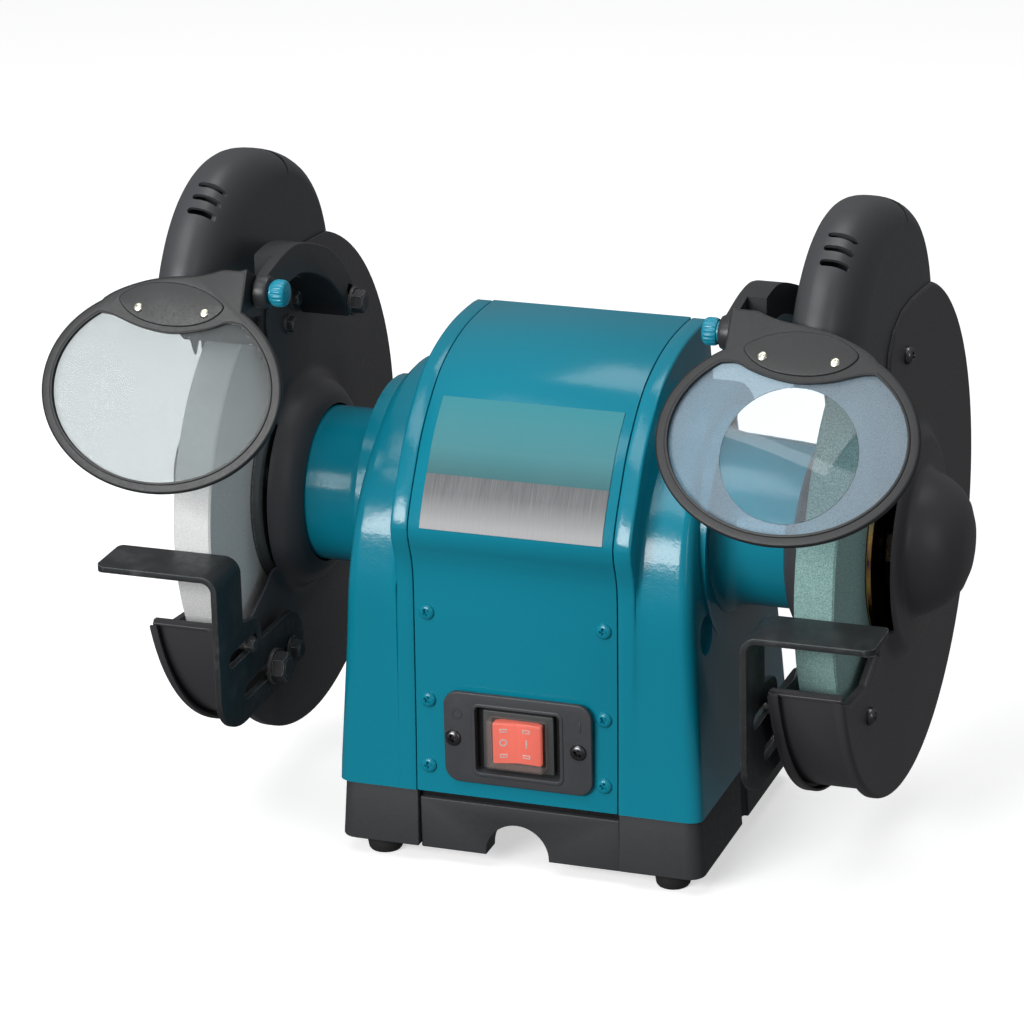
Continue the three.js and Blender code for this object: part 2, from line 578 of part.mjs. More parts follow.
// Shield frame and lens, drawn in the plane of the shield: u across, v down from the pivot, n forward.
{
  const ring = (a, b, from, to, n) => {
    const pts = [];
    for (let i = 0; i <= n; i++) {
      const t = (from + ((to - from) * i) / n) * deg;
      pts.push([SHIELD_X + a * Math.cos(t), SHIELD_V - b * Math.sin(t)]);
    }
    return pts;
  };
  // v grows downwards, so angles run from the right through the top
  const top = [[182.5, 8.2], [175, 4], [163.6, 0.4], [152.5, -1.7], [140.8, -2.7], [134, -5], [128.6, -7], [116.5, -7]];
  const outer = [...top, ...ring(SHIELD_A, SHIELD_B, 126, 414, 28)];
  const mouthOf = (grow) => [
    ...ring(SHIELD_A - 5.9 + grow, SHIELD_B - 5.4 + grow, 130, 411, 26),
    [176.3, 20.2 - grow], [169, 22.8 - grow], [160, 24.8 - grow], [149.7, 25.2 - grow], [137.1, 22.9 - grow], [129, 19.6 - grow], [122, 16.6 - grow],
  ];
  const flat = (pts, n0, n1) => {
    // u -> x, v -> -z', n -> -y'
    const g = extrusion(pts.map(([u, v]) => [u, -v]), n1 - n0);
    return g.applyMatrix4(new THREE.Matrix4().set(1, 0, 0, 0, 0, 0, -1, -n0, 0, 1, 0, 0, 0, 0, 0, 1));
  };
  const frameSolid = () => {
    const front = cut(solid(flat(outer, 13.7, 15.5)), solid(flat(mouthOf(0), 13, 17)));
    const back = cut(solid(flat(outer, 12.2, 13.8)), solid(flat(mouthOf(1.6), 11, 14)));
    // ear round the pivot stud, in the plane across X
    const ear = [[-15.3, -12], [-15.3, 7], [-12.4, 7]];
    for (let i = 0; i <= 8; i++) ear.push([7.4 * Math.sin(i * 22.5 * deg), 7.4 * Math.cos(i * 22.5 * deg)]);
    ear.push([-12.4, -12]);
    const earSolid = cut(solid(prismAt(ear, 116.5, 119.9)), solid(prismAt(circle(3.4, 12), 110, 125)));
    return union(front, back, earSolid);
  };
  const prismAt = (pts, x0, x1) =>
    extrusion(pts, x1 - x0).applyMatrix4(new THREE.Matrix4().set(0, 0, 1, x0, 1, 0, 0, 0, 0, 1, 0, 0, 0, 0, 0, 1));
  const circle = (r, n) => Array.from({ length: n }, (_, i) => [r * Math.cos((i * 2 * Math.PI) / n), r * Math.sin((i * 2 * Math.PI) / n)]);
  const frameShape = frameSolid();
  const lensShape = solid(flat(mouthOf(1.25), 11.6, 13.4));
  const bulge = turnedY([[0, 0.9], [27, 0.9], [30.5, -0.4], [30.5, -1.2], [0, -1.2]]);
  function turnedY(profile) {
    const pts = profile.map(([r, y]) => new THREE.Vector2(r, y));
    const make = (p) => solid(new THREE.LatheGeometry(p, 20).rotateX(Math.PI).translate(SHIELD_X + 1.7, -14.2, -57));
    const made = make(pts);
    return made.volume() > 0 ? made : make(pts.reverse());
  }
  both((n, s) => {
    const holder = new THREE.Group();
    holder.position.set(0, PIVOT[0], PIVOT[1]);
    holder.rotation.x = -(s < 0 ? TILT_LEFT : TILT_RIGHT) * deg;
    const put = (name, shape, material) => {
      const mesh = new THREE.Mesh(geometryOf(shape, s), material);
      mesh.name = name;
      holder.add(mesh);
    };
    put("shield_frame_" + n, frameShape, M.black);
    put("shield_lens_" + n, s < 0 ? lensShape : union(lensShape, bulge), M.lens);
    grinder.add(holder);
  });
}

// ---------------------------------------------------------------- tool rests
{
  const leg = [
    [REST_FRONT, 150], [REST_FRONT, 97], [-132.5, 90.5], [-128.5, 85.4], [-122.5, 80.8], [-115, 78], [-108, 76.8], [-98, 76.9], [-57, 77.1],
    [-47, 77.6], [-38, 80.5], [-32, 86], [-30.2, 93], [-32, 100.5], [-37.5, 107], [-45, 110.4], [-53, 110.9], [-83, 110.9],
    [-83, 116], [-84.5, 120.5], [-88.5, 124.2], [-94, 125.6], [REST_REAR, 127.5], [REST_REAR, 150],
  ];
  const side = prismX(leg, REST_X, REST_X + REST_T);
  // the bent bar, seen along Y: leg, bend and top plate
  const bend = [];
  const rOut = 8,
    rIn = rOut - REST_T;
  for (let i = 0; i <= 4; i++) bend.push([REST_X + rOut - rOut * Math.cos(i * 22.5 * deg), REST_Z - rOut + rOut * Math.sin(i * 22.5 * deg)]);
  const under = [];
  for (let i = 4; i >= 0; i--) under.push([REST_X + rOut - rIn * Math.cos(i * 22.5 * deg), REST_Z - rOut + rIn * Math.sin(i * 22.5 * deg)]);
  const profile = [[REST_X, 148], ...bend, [REST_END, REST_Z], [REST_END, REST_Z - REST_T], ...under, [REST_X + REST_T, 148]];
  const bar = prismY(profile, REST_FRONT, REST_REAR);
  const rest = cut(
    union(side, bar),
    prismX(slotY(-123, -88, 110, 117.3), 120, 140),
    prismX(slotY(-106, -38, 87.5, 95.5), 120, 140),
  );
  both((n, s) => {
    add("tool_rest_" + n, rest, M.darkSteel, s);
    add("rest_clamp_bolt_" + n, union(
      hexX(13, 120.4, 126.4, ...CLAMP),
      discX(9, 126.3, 127.8, ...CLAMP, 16),
      discX(3.6, 127, 142.4, ...CLAMP, 10),
      hexX(11, 137.8, 142.4, ...CLAMP),
    ), M.darkSteel, s);
    add("rest_lock_bolt_" + n, union(
      hexX(9, 122, 126.8, ...LOCK),
      discX(6.6, 126.7, 127.8, ...LOCK, 14),
      discX(3.1, 127, 141.4, ...LOCK, 10),
      hexX(9, 137.8, 141.4, ...LOCK),
    ), M.darkSteel, s);
    add("rest_guide_bolt_" + n, union(
      hexX(6.4, 125.2, 129.2, ...GUIDE),
      discX(2.9, 129, 135.9, ...GUIDE, 10),
      discX(2.6, 135, 141, ...GUIDE, 10),
      discX(4.5, 137.8, 141, ...GUIDE, 10),
    ), M.darkSteel, s);
  });
}

export default grinder;
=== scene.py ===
import bpy, bmesh, math
from mathutils import Vector, Matrix


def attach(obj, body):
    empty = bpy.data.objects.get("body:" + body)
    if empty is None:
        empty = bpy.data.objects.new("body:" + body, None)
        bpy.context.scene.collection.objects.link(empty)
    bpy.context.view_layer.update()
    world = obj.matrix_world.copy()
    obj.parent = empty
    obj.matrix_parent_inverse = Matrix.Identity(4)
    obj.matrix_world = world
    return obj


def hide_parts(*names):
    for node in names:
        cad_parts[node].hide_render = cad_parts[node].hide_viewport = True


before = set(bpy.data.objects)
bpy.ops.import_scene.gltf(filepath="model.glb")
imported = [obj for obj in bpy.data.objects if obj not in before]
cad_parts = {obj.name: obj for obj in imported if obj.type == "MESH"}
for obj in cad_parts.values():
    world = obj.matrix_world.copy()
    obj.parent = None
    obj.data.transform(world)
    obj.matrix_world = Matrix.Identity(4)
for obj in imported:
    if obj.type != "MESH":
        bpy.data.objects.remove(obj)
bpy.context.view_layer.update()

# Lengths are in millimetres with the spindle axis at y = 0, and go to the row frame in piece().
Y_SHIFT = 22.97
SPINDLE_Z = 163.0
deg = math.pi / 180


# ------------------------------------------------------------------ camera
def make_camera():
    az, el, roll = 19.863 * deg, 20.59 * deg, -1.366 * deg
    back = Vector((math.sin(az) * math.cos(el), -math.cos(az) * math.cos(el), math.sin(el)))
    fwd = -back
    right = fwd.cross(Vector((0, 0, 1))).normalized()
    up = right.cross(fwd)
    r = right * math.cos(roll) + up * math.sin(roll)
    u = -right * math.sin(roll) + up * math.cos(roll)
    place = Vector((-27.93, Y_SHIFT, 156.66)) / 1000 + back * 2.1691
    cam = bpy.data.objects.new("camera", bpy.data.cameras.new("camera"))
    cam.data.lens = 155.87
    cam.data.sensor_width = 36
    cam.data.clip_end = 50
    m = Matrix.Identity(4)
    for i in range(3):
        m[i][0], m[i][1], m[i][2], m[i][3] = r[i], u[i], back[i], place[i]
    cam.matrix_world = m
    bpy.context.scene.collection.objects.link(cam)
    bpy.context.scene.camera = cam


make_camera()


# ------------------------------------------------------------------ outlines
def smooth(pts, n=5, closed=False):
    """A centripetal curve through the points."""
    p = [Vector((a, b)) for a, b in pts]
    m = len(p)
    out = []
    rng = range(m if closed else m - 1)
    for i in rng:
        p1, p2 = p[i], p[(i + 1) % m]
        p0 = p[(i - 1) % m] if (closed or i > 0) else p1 * 2 - p2
        p3 = p[(i + 2) % m] if (closed or i < m - 2) else p2 * 2 - p1
        t0 = 0.0
        t1 = t0 + max((p1 - p0).length, 1e-6) ** 0.5
        t2 = t1 + max((p2 - p1).length, 1e-6) ** 0.5
        t3 = t2 + max((p3 - p2).length, 1e-6) ** 0.5
        for k in range(n):
            t = t1 + (t2 - t1) * k / n
            a1 = p0 * ((t1 - t) / (t1 - t0)) + p1 * ((t - t0) / (t1 - t0))
            a2 = p1 * ((t2 - t) / (t2 - t1)) + p2 * ((t - t1) / (t2 - t1))
            a3 = p2 * ((t3 - t) / (t3 - t2)) + p3 * ((t - t2) / (t3 - t2))
            b1 = a1 * ((t2 - t) / (t2 - t0)) + a2 * ((t - t0) / (t2 - t0))
            b2 = a2 * ((t3 - t) / (t3 - t1)) + a3 * ((t - t1) / (t3 - t1))
            c = b1 * ((t2 - t) / (t2 - t1)) + b2 * ((t - t1) / (t2 - t1))
            out.append((c.x, c.y))
    if not closed:
        out.append(tuple(p[-1]))
    return out


def tidy(pts, tol=0.02):
    out = []
    for q in pts:
        if not out or math.hypot(q[0] - out[-1][0], q[1] - out[-1][1]) > tol:
            out.append((q[0], q[1]))
    while len(out) > 2 and math.hypot(out[0][0] - out[-1][0], out[0][1] - out[-1][1]) <= tol:
        out.pop()
    area = sum(out[i - 1][0] * out[i][1] - out[i][0] * out[i - 1][1] for i in range(len(out)))
    return out if area > 0 else out[::-1]


def fillet(pts, r, n=5, limit=165):
    """Rounds the corners of a closed outline. r is one radius or one for each corner."""
    out = []
    count = len(pts)
    for i in range(count):
        b = Vector(pts[i])
        ri = r[i] if isinstance(r, (list, tuple)) else r
        a, c = Vector(pts[i - 1]), Vector(pts[(i + 1) % count])
        u, v = a - b, c - b
        lu, lv = u.length, v.length
        if ri <= 0 or lu < 1e-6 or lv < 1e-6:
            out.append((b.x, b.y))
            continue
        u, v = u / lu, v / lv
        ang = math.acos(max(-1, min(1, u.dot(v))))
        if ang > limit * deg or ang < 1 * deg:
            out.append((b.x, b.y))
            continue
        t = min(ri / math.tan(ang / 2), 0.49 * lu, 0.49 * lv)
        rr = t * math.tan(ang / 2)
        cc = b + (u + v).normalized() * (rr / math.sin(ang / 2))
        p0, p1 = b + u * t, b + v * t
        a0 = math.atan2(p0.y - cc.y, p0.x - cc.x)
        d = math.atan2(p1.y - cc.y, p1.x - cc.x) - a0
        while d > math.pi:
            d -= 2 * math.pi
        while d < -math.pi:
            d += 2 * math.pi
        for k in range(n + 1):
            q = a0 + d * k / n
            out.append((cc.x + rr * math.cos(q), cc.y + rr * math.sin(q)))
    return out


def offset(pts, d):
    """A closed anticlockwise outline moved inwards by d."""
    p = tidy(pts)
    n = len(p)
    out = []
    for i in range(n):
        a, b, c = Vector(p[i - 1]), Vector(p[i]), Vector(p[(i + 1) % n])
        e0, e1 = (b - a).normalized(), (c - b).normalized()
        n0, n1 = Vector((-e0.y, e0.x)), Vector((-e1.y, e1.x))
        m = n0 + n1
        if m.length < 1e-6:
            m = n0
        m.normalize()
        k = d / max(0.35, m.dot(n0))
        out.append((b.x + m.x * k, b.y + m.y * k))
    return out


def strip(line, a, b):
    def side(d):
        res = []
        for i, p in enumerate(line):
            q, r = line[max(i - 1, 0)], line[min(i + 1, len(line) - 1)]
            u = (r[0] - q[0], r[1] - q[1])
            l = math.hypot(*u)
            res.append((p[0] - u[1] / l * d, p[1] + u[0] / l * d))
        return res
    return side(a) + side(b)[::-1]


def arc(r, frm, to, step, cy=0.0, cz=SPINDLE_Z):
    n = max(1, math.ceil(abs(to - frm) / step))
    return [(cy + r * math.cos((frm + (to - frm) * i / n) * deg), cz + r * math.sin((frm + (to - frm) * i / n) * deg)) for i in range(n + 1)]


def circle(r, n, cy=0.0, cz=0.0):
    return [(cy + r * math.cos(2 * math.pi * i / n), cz + r * math.sin(2 * math.pi * i / n)) for i in range(n)]


def slot(y0, y1, z0, z1, n=8):
    r, z = (z1 - z0) / 2, (z0 + z1) / 2
    pts = [(y1 - r + r * math.cos(a * deg), z + r * math.sin(a * deg)) for a in [-90 + 180 * i / n for i in range(n + 1)]]
    return pts + [(y0 + r + r * math.cos(a * deg), z + r * math.sin(a * deg)) for a in [90 + 180 * i / n for i in range(n + 1)]]


# ------------------------------------------------------------------ solids
def to_mesh(bm):
    bmesh.ops.recalc_face_normals(bm, faces=bm.faces)
    me = bpy.data.meshes.new("solid")
    bm.to_mesh(me)
    bm.free()
    return me


def prism(pts, a, b, axis="X", bevel=0.0, segs=3, ends="both"):
    """An outline pushed along an axis, with its rims rounded. Outlines: X (y, z), Y (x, z), Z (x, y)."""
    pts = tidy(pts)

    def at(p, t):
        if axis == "X":
            return (t, p[0], p[1])
        if axis == "Y":
            return (p[0], t, p[1])
        return (p[0], p[1], t)

    bm = bmesh.new()
    va = [bm.verts.new(at(p, a)) for p in pts]
    vb = [bm.verts.new(at(p, b)) for p in pts]
    n = len(pts)
    fa = bm.faces.new(va)
    fb = bm.faces.new(vb[::-1])
    for i in range(n):
        j = (i + 1) % n
        bm.faces.new((va[j], va[i], vb[i], vb[j]))
    bmesh.ops.recalc_face_normals(bm, faces=bm.faces)
    if bevel > 0:
        edges = []
        if ends in ("both", "a"):
            edges += list(fa.edges)
        if ends in ("both", "b"):
            edges += list(fb.edges)
        bmesh.ops.bevel(bm, geom=edges, offset=bevel, segments=segs, profile=0.5, affect="EDGES", clamp_overlap=True)
    return to_mesh(bm)


def box(x0, x1, y0, y1, z0, z1, bevel=0.0, segs=2):
    bm = bmesh.new()
    bmesh.ops.create_cube(bm, size=1)
    for v in bm.verts:
        v.co = ((x0 + x1) / 2 + v.co.x * (x1 - x0), (y0 + y1) / 2 + v.co.y * (y1 - y0), (z0 + z1) / 2 + v.co.z * (z1 - z0))
    if bevel > 0:
        bmesh.ops.bevel(bm, geom=list(bm.edges), offset=bevel, segments=segs, profile=0.5, affect="EDGES", clamp_overlap=True)
    return to_mesh(bm)


def turned(profile, segs=64, axis="X", c=(0.0, SPINDLE_Z), frm=0.0, to=360.0):
    """A profile of (radius, place along the axis), turned about it. It is closed from its last point to its first."""
    full = abs(to - frm) >= 359.9
    steps = segs if full else segs + 1
    bm = bmesh.new()
    rings = []
    for r, t in profile:
        ring = []
        for k in range(1 if r < 1e-6 else steps):
            q = (frm + (to - frm) * k / segs) * deg
            u, v = r * math.cos(q), r * math.sin(q)
            if axis == "X":
                co = (t, c[0] + u, c[1] + v)
            elif axis == "Y":
                co = (c[0] + u, t, c[1] + v)
            else:
                co = (c[0] + u, c[1] + v, t)
            ring.append(bm.verts.new(co))
        rings.append(ring)
    n = len(profile)
    for i in range(n):
        A, B = rings[i], rings[(i + 1) % n]
        if len(A) == 1 and len(B) == 1:
            continue
        for k in range(steps if full else steps - 1):
            k2 = (k + 1) % steps
            if len(A) == 1:
                bm.faces.new((A[0], B[k], B[k2]))
            elif len(B) == 1:
                bm.faces.new((A[k], B[0], A[k2]))
            else:
                bm.faces.new((A[k], B[k], B[k2], A[k2]))
    if not full:
        bm.faces.new([r[0] for r in rings])
        bm.faces.new([r[-1] for r in rings][::-1])
    return to_mesh(bm)


def disc(r, x0, x1, y, z, n=24):
    return turned([(0, x0), (r, x0), (r, x1), (0, x1)], n, "X", (y, z))


def moved(me, m):
    me.transform(m)
    if m.determinant() < 0:
        me.flip_normals()
    return me


def aimed(me, place, direction, spin=0.0):
    """Turns a piece drawn along +Z so that it points along direction, and puts it at place."""
    q = Vector(direction).normalized().to_track_quat("Z", "Y").to_matrix().to_4x4()
    return moved(me, Matrix.Translation(Vector(place)) @ q @ Matrix.Rotation(spin, 4, "Z"))


def join(*meshes):
    bm = bmesh.new()
    for me in meshes:
        bm.from_mesh(me)
    out = bpy.data.meshes.new("solid")
    bm.to_mesh(out)
    bm.free()
    return out


def boolean(a, tools, op="DIFFERENCE", solver="MANIFOLD"):
    if not tools:
        return a
    base = bpy.data.objects.new("base", a)
    bpy.context.scene.collection.objects.link(base)
    spare = []
    for t in tools:
        o = bpy.data.objects.new("tool", t)
        bpy.context.scene.collection.objects.link(o)
        spare.append(o)
        m = base.modifiers.new("b", "BOOLEAN")
        m.operation = op
        m.solver = solver
        m.object = o
    dg = bpy.context.evaluated_depsgraph_get()
    dg.update()
    me = bpy.data.meshes.new_from_object(base.evaluated_get(dg), depsgraph=dg)
    for o in spare + [base]:
        bpy.data.objects.remove(o)
    return me


def cut(a, *tools):
    return boolean(a, list(tools))


def union(a, *others):
    return boolean(a, list(others), "UNION")


def meet(a, *others):
    return boolean(a, list(others), "INTERSECT")


SHIFT = Matrix.Translation((0, Y_SHIFT / 1000, 0)) @ Matrix.Scale(0.001, 4)
MIRROR = Matrix.Scale(-1, 4, (1, 0, 0))
made = {}


def piece(name, me, mat, body, side=1, replaces=(), angle=32, bevel=0.0, segs=2, before=None):
    me = me.copy()
    if before is not None:
        me.transform(before)
    if side < 0:
        me.transform(MIRROR)
        me.flip_normals()
    bm = bmesh.new()
    bm.from_mesh(me)
    bmesh.ops.remove_doubles(bm, verts=bm.verts, dist=0.002)
    bmesh.ops.dissolve_degenerate(bm, dist=0.001, edges=bm.edges)
    bm.to_mesh(me)
    bm.free()
    if bevel > 0:
        o = bpy.data.objects.new("base", me)
        bpy.context.scene.collection.objects.link(o)
        m = o.modifiers.new("v", "BEVEL")
        m.width = bevel
        m.segments = segs
        m.limit_method = "ANGLE"
        m.angle_limit = 40 * deg
        m.use_clamp_overlap = True
        m.miter_outer = "MITER_ARC"
        dg = bpy.context.evaluated_depsgraph_get()
        dg.update()
        me = bpy.data.meshes.new_from_object(o.evaluated_get(dg), depsgraph=dg)
        bpy.data.objects.remove(o)
    me.transform(SHIFT)
    me.shade_smooth()
    me.set_sharp_from_angle(angle=angle * deg)
    me.name = name
    me.materials.clear()
    for m in mat if isinstance(mat, (list, tuple)) else [mat]:
        me.materials.append(m)
    ob = bpy.data.objects.new(name, me)
    bpy.context.scene.collection.objects.link(ob)
    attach(ob, body)
    if replaces:
        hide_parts(*([replaces] if isinstance(replaces, str) else replaces))
    made[name] = ob
    return ob


# ------------------------------------------------------------------ materials
class Nodes:
    def __init__(self, name):
        self.m = bpy.data.materials.new(name)
        self.m.use_nodes = True
        self.t = self.m.node_tree
        self.b = self.t.nodes["Principled BSDF"]
        self.normal = None
        self.co = self.t.nodes.new("ShaderNodeTexCoord").outputs["Object"]

    def new(self, kind, **values):
        n = self.t.nodes.new(kind)
        for k, v in values.items():
            setattr(n, k, v)
        return n

    def link(self, a, b):
        self.t.links.new(a, b)

    def set(self, **values):
        for k, v in values.items():
            s = self.b.inputs[k.replace("_", " ")]
            s.default_value = (*v, 1.0) if isinstance(v, tuple) and len(v) == 3 else v
        return self

    def noise(self, scale, detail=2.0, rough=0.5, stretch=None, distortion=0.0):
        n = self.new("ShaderNodeTexNoise")
        n.inputs["Scale"].default_value = scale
        n.inputs["Detail"].default_value = detail
        n.inputs["Roughness"].default_value = rough
        n.inputs["Distortion"].default_value = distortion
        src = self.co
        if stretch:
            mp = self.new("ShaderNodeMapping")
            mp.inputs["Scale"].default_value = stretch
            self.link(self.co, mp.inputs["Vector"])
            src = mp.outputs["Vector"]
        self.link(src, n.inputs["Vector"])
        return n.outputs["Fac"]

    def voronoi(self, scale, feature="F1"):
        n = self.new("ShaderNodeTexVoronoi", feature=feature)
        n.inputs["Scale"].default_value = scale
        self.link(self.co, n.inputs["Vector"])
        return n.outputs["Distance"]

    def ramp(self, fac, stops):
        r = self.new("ShaderNodeValToRGB")
        e = r.color_ramp.elements
        while len(e) < len(stops):
            e.new(0.5)
        for el, (pos, col) in zip(e, stops):
            el.position = pos
            el.color = (*col, 1.0) if isinstance(col, tuple) else (col, col, col, 1.0)
        self.link(fac, r.inputs["Fac"])
        return r.outputs["Color"]

    def math(self, op, a, b=None, clamp=False):
        n = self.new("ShaderNodeMath", operation=op, use_clamp=clamp)
        for i, v in enumerate((a, b)):
            if v is None:
                continue
            if isinstance(v, (int, float)):
                n.inputs[i].default_value = v
            else:
                self.link(v, n.inputs[i])
        return n.outputs[0]

    def mix(self, fac, a, b, blend="MIX"):
        n = self.new("ShaderNodeMix", data_type="RGBA", blend_type=blend)
        if isinstance(fac, (int, float)):
            n.inputs[0].default_value = fac
        else:
            self.link(fac, n.inputs[0])
        for i, v in ((6, a), (7, b)):
            if isinstance(v, tuple):
                n.inputs[i].default_value = (*v, 1.0)
            else:
                self.link(v, n.inputs[i])
        return n.outputs[2]

    def bump(self, height, distance, strength=1.0):
        n = self.new("ShaderNodeBump")
        n.inputs["Distance"].default_value = distance
        n.inputs["Strength"].default_value = strength
        self.link(height, n.inputs["Height"])
        if self.normal is not None:
            self.link(self.normal, n.inputs["Normal"])
        self.normal = n.outputs["Normal"]
        self.link(self.normal, self.b.inputs["Normal"])
        return self

    def color(self, out):
        self.link(out, self.b.inputs["Base Color"])
        return self

    def rough(self, fac, low, high):
        m = self.new("ShaderNodeMapRange")
        m.inputs["To Min"].default_value = low
        m.inputs["To Max"].default_value = high
        m.inputs["From Min"].default_value = 0.3
        m.inputs["From Max"].default_value = 0.7
        self.link(fac, m.inputs["Value"])
        self.link(m.outputs["Result"], self.b.inputs["Roughness"])
        return self

    def xyz(self):
        s = self.new("ShaderNodeSeparateXYZ")
        self.link(self.co, s.inputs[0])
        return s.outputs

    def edges(self, radius):
        """1 where the surface bends within radius, 0 on flat places."""
        bv = self.new("ShaderNodeBevel", samples=4)
        bv.inputs["Radius"].default_value = radius
        g = self.new("ShaderNodeNewGeometry")
        d = self.new("ShaderNodeVectorMath", operation="DOT_PRODUCT")
        self.link(bv.outputs[0], d.inputs[0])
        self.link(g.outputs["Normal"], d.inputs[1])
        return self.math("MULTIPLY", self.math("SUBTRACT", 1.0, d.outputs["Value"]), 6.0, clamp=True)


def paint_teal():
    n = Nodes("teal_paint")
    n.set(Specular_IOR_Level=0.42)
    big = n.noise(6, 2)
    n.color(n.mix(big, (0.0040, 0.205, 0.292), (0.0048, 0.235, 0.328)))
    peel = n.noise(900, 1.5, 0.45)
    wave = n.noise(240, 1.0, 0.4)
    n.rough(n.noise(1400, 2), 0.13, 0.21)
    n.bump(wave, 0.00012, 0.4)
    n.bump(peel, 0.00007, 0.6)
    return n.m


def satin_black(name="satin_black", base=0.026, low=0.34, high=0.44, grain=2600, depth=0.00002):
    n = Nodes(name)
    n.set(Specular_IOR_Level=0.5)
    soft = n.noise(9, 2)
    n.color(n.mix(soft, (base * 0.95, base * 1.0, base * 1.08), (base * 1.05, base * 1.12, base * 1.22)))
    n.rough(n.noise(700, 3, 0.6), low, high)
    n.bump(n.noise(grain, 2), depth, 0.5)
    return n.m


def powder_coat():
    n = Nodes("powder_coat")
    n.set(Specular_IOR_Level=0.45)
    soft = n.noise(12, 2)
    n.color(n.mix(soft, (0.050, 0.0490, 0.0535), (0.058, 0.0570, 0.0625)))
    n.rough(n.noise(900, 3), 0.36, 0.46)
    n.bump(n.noise(1500, 2, 0.5), 0.00004, 0.5)
    return n.m


def moulded(name, base, low, high, grain=1500, depth=0.00005):
    n = Nodes(name)
    soft = n.noise(25, 3)
    n.color(n.mix(soft, tuple(c * 0.88 for c in base), tuple(c * 1.12 for c in base)))
    n.rough(n.noise(400, 3), low, high)
    n.bump(n.voronoi(grain), depth, 0.35)
    n.bump(n.noise(grain * 1.7, 2), depth, 0.3)
    return n.m


def rubber():
    n = Nodes("rubber")
    n.color(n.mix(n.noise(60, 4), (0.012, 0.012, 0.012), (0.024, 0.024, 0.023)))
    n.rough(n.noise(300, 3), 0.62, 0.8)
    n.bump(n.noise(1200, 3), 0.00006, 0.5)
    return n.m


def dark_steel(name="worn_steel", base=(0.045, 0.050, 0.053), wear=(0.42, 0.43, 0.44), radius=0.0006):
    n = Nodes(name)
    n.set(Metallic=0.35)
    edge = n.math("MULTIPLY", n.edges(radius), n.ramp(n.noise(500, 3, 0.6), [(0.35, 0.15), (0.6, 1.0)]))
    smudge = n.ramp(n.noise(45, 5, 0.65, (1, 1, 1)), [(0.52, 0.0), (0.75, 1.0)])
    base_col = n.mix(n.noise(30, 4), base, tuple(c * 1.35 for c in base))
    worn = n.mix(n.math("MULTIPLY", smudge, 0.18), base_col, wear)
    n.color(n.mix(edge, worn, wear))
    n.rough(n.noise(180, 4, 0.6), 0.40, 0.58)
    n.bump(n.noise(900, 3), 0.00004, 0.5)
    n.bump(n.noise(500, 2, 0.5, (1, 0.1, 1)), 0.00002, 0.3)
    return n.m


def bright_steel(name="bright_steel", base=(0.55, 0.56, 0.58), low=0.2, high=0.34, brushed=(0.05, 1, 1)):
    n = Nodes(name)
    n.set(Metallic=1.0)
    n.color(n.mix(n.noise(60, 3), tuple(c * 0.85 for c in base), base))
    n.rough(n.noise(700, 3, 0.6, brushed), low, high)
    n.bump(n.noise(1500, 2, 0.5, brushed), 0.00001, 0.5)
    return n.m


def plated(name, a, b, c):
    n = Nodes(name)
    n.set(Metallic=1.0)
    x = n.noise(130, 3, 0.6, (2.5, 0.4, 0.4))
    n.color(n.ramp(x, [(0.35, a), (0.5, b), (0.65, c)]))
    n.rough(n.noise(900, 2), 0.16, 0.26)
    n.bump(n.noise(1800, 2), 0.00001, 0.4)
    return n.m


def abrasive(name, dark, light, scale, depth, spread=(0.36, 0.64), dirt=None):
    n = Nodes(name)
    n.set(Roughness=0.86, Specular_IOR_Level=0.4)
    g = n.noise(scale, 3.5, 0.75)
    v = n.voronoi(scale * 0.8)
    mixd = n.math("ADD", n.math("MULTIPLY", g, 0.75), n.math("MULTIPLY", v, 0.3))
    col = n.ramp(mixd, [(spread[0], dark), (spread[1], light)])
    soft = n.noise(14, 3)
    col = n.mix(n.math("MULTIPLY", soft, 0.22), col, dirt or dark)
    n.color(col)
    n.bump(g, depth, 0.9)
    n.bump(v, depth, 0.5)
    return n.m


def paper(name, a, b):
    n = Nodes(name)
    n.color(n.mix(n.noise(700, 5, 0.7), a, b))
    n.rough(n.noise(500, 3), 0.6, 0.8)
    n.bump(n.noise(2400, 4, 0.7), 0.00003, 0.6)
    return n.m


def label_upper():
    n = Nodes("label_upper")
    n.set(Roughness=0.42, Specular_IOR_Level=0.22)
    z = n.xyz()[2]
    f = n.math("DIVIDE", n.math("SUBTRACT", z, 0.199), 0.031, clamp=True)
    col = n.ramp(f, [(0.0, (0.028, 0.130, 0.145)), (0.4, (0.055, 0.235, 0.265)), (1.0, (0.035, 0.255, 0.30))])
    n.color(n.mix(n.math("MULTIPLY", n.noise(40, 3), 0.12), col, (0.2, 0.32, 0.35)))
    n.bump(n.noise(1100, 1.5), 0.00002, 0.4)
    return n.m


def foil_band_painted_reflection():
    n = Nodes("foil_band_painted_reflection")
    n.set(Metallic=0.0, Specular_IOR_Level=0.3)
    # light grey at the bottom to near-black at the top: a painted reflection of the soft box on the slope; the streaks
    # are the foil's own brushing
    z = n.xyz()[2]
    f = n.math("DIVIDE", n.math("SUBTRACT", z, 0.176), 0.024, clamp=True)
    col = n.ramp(f, [(0.0, (0.36, 0.36, 0.365)), (0.35, (0.19, 0.195, 0.20)), (0.7, (0.06, 0.068, 0.075)), (1.0, (0.032, 0.040, 0.046))])
    streak = n.noise(1800, 3, 0.6, (1, 0.03, 0.03))
    n.color(n.mix(n.math("MULTIPLY", streak, 0.35), col, (0.62, 0.62, 0.63)))
    n.rough(streak, 0.38, 0.5)
    n.bump(streak, 0.00001, 0.5)
    return n.m


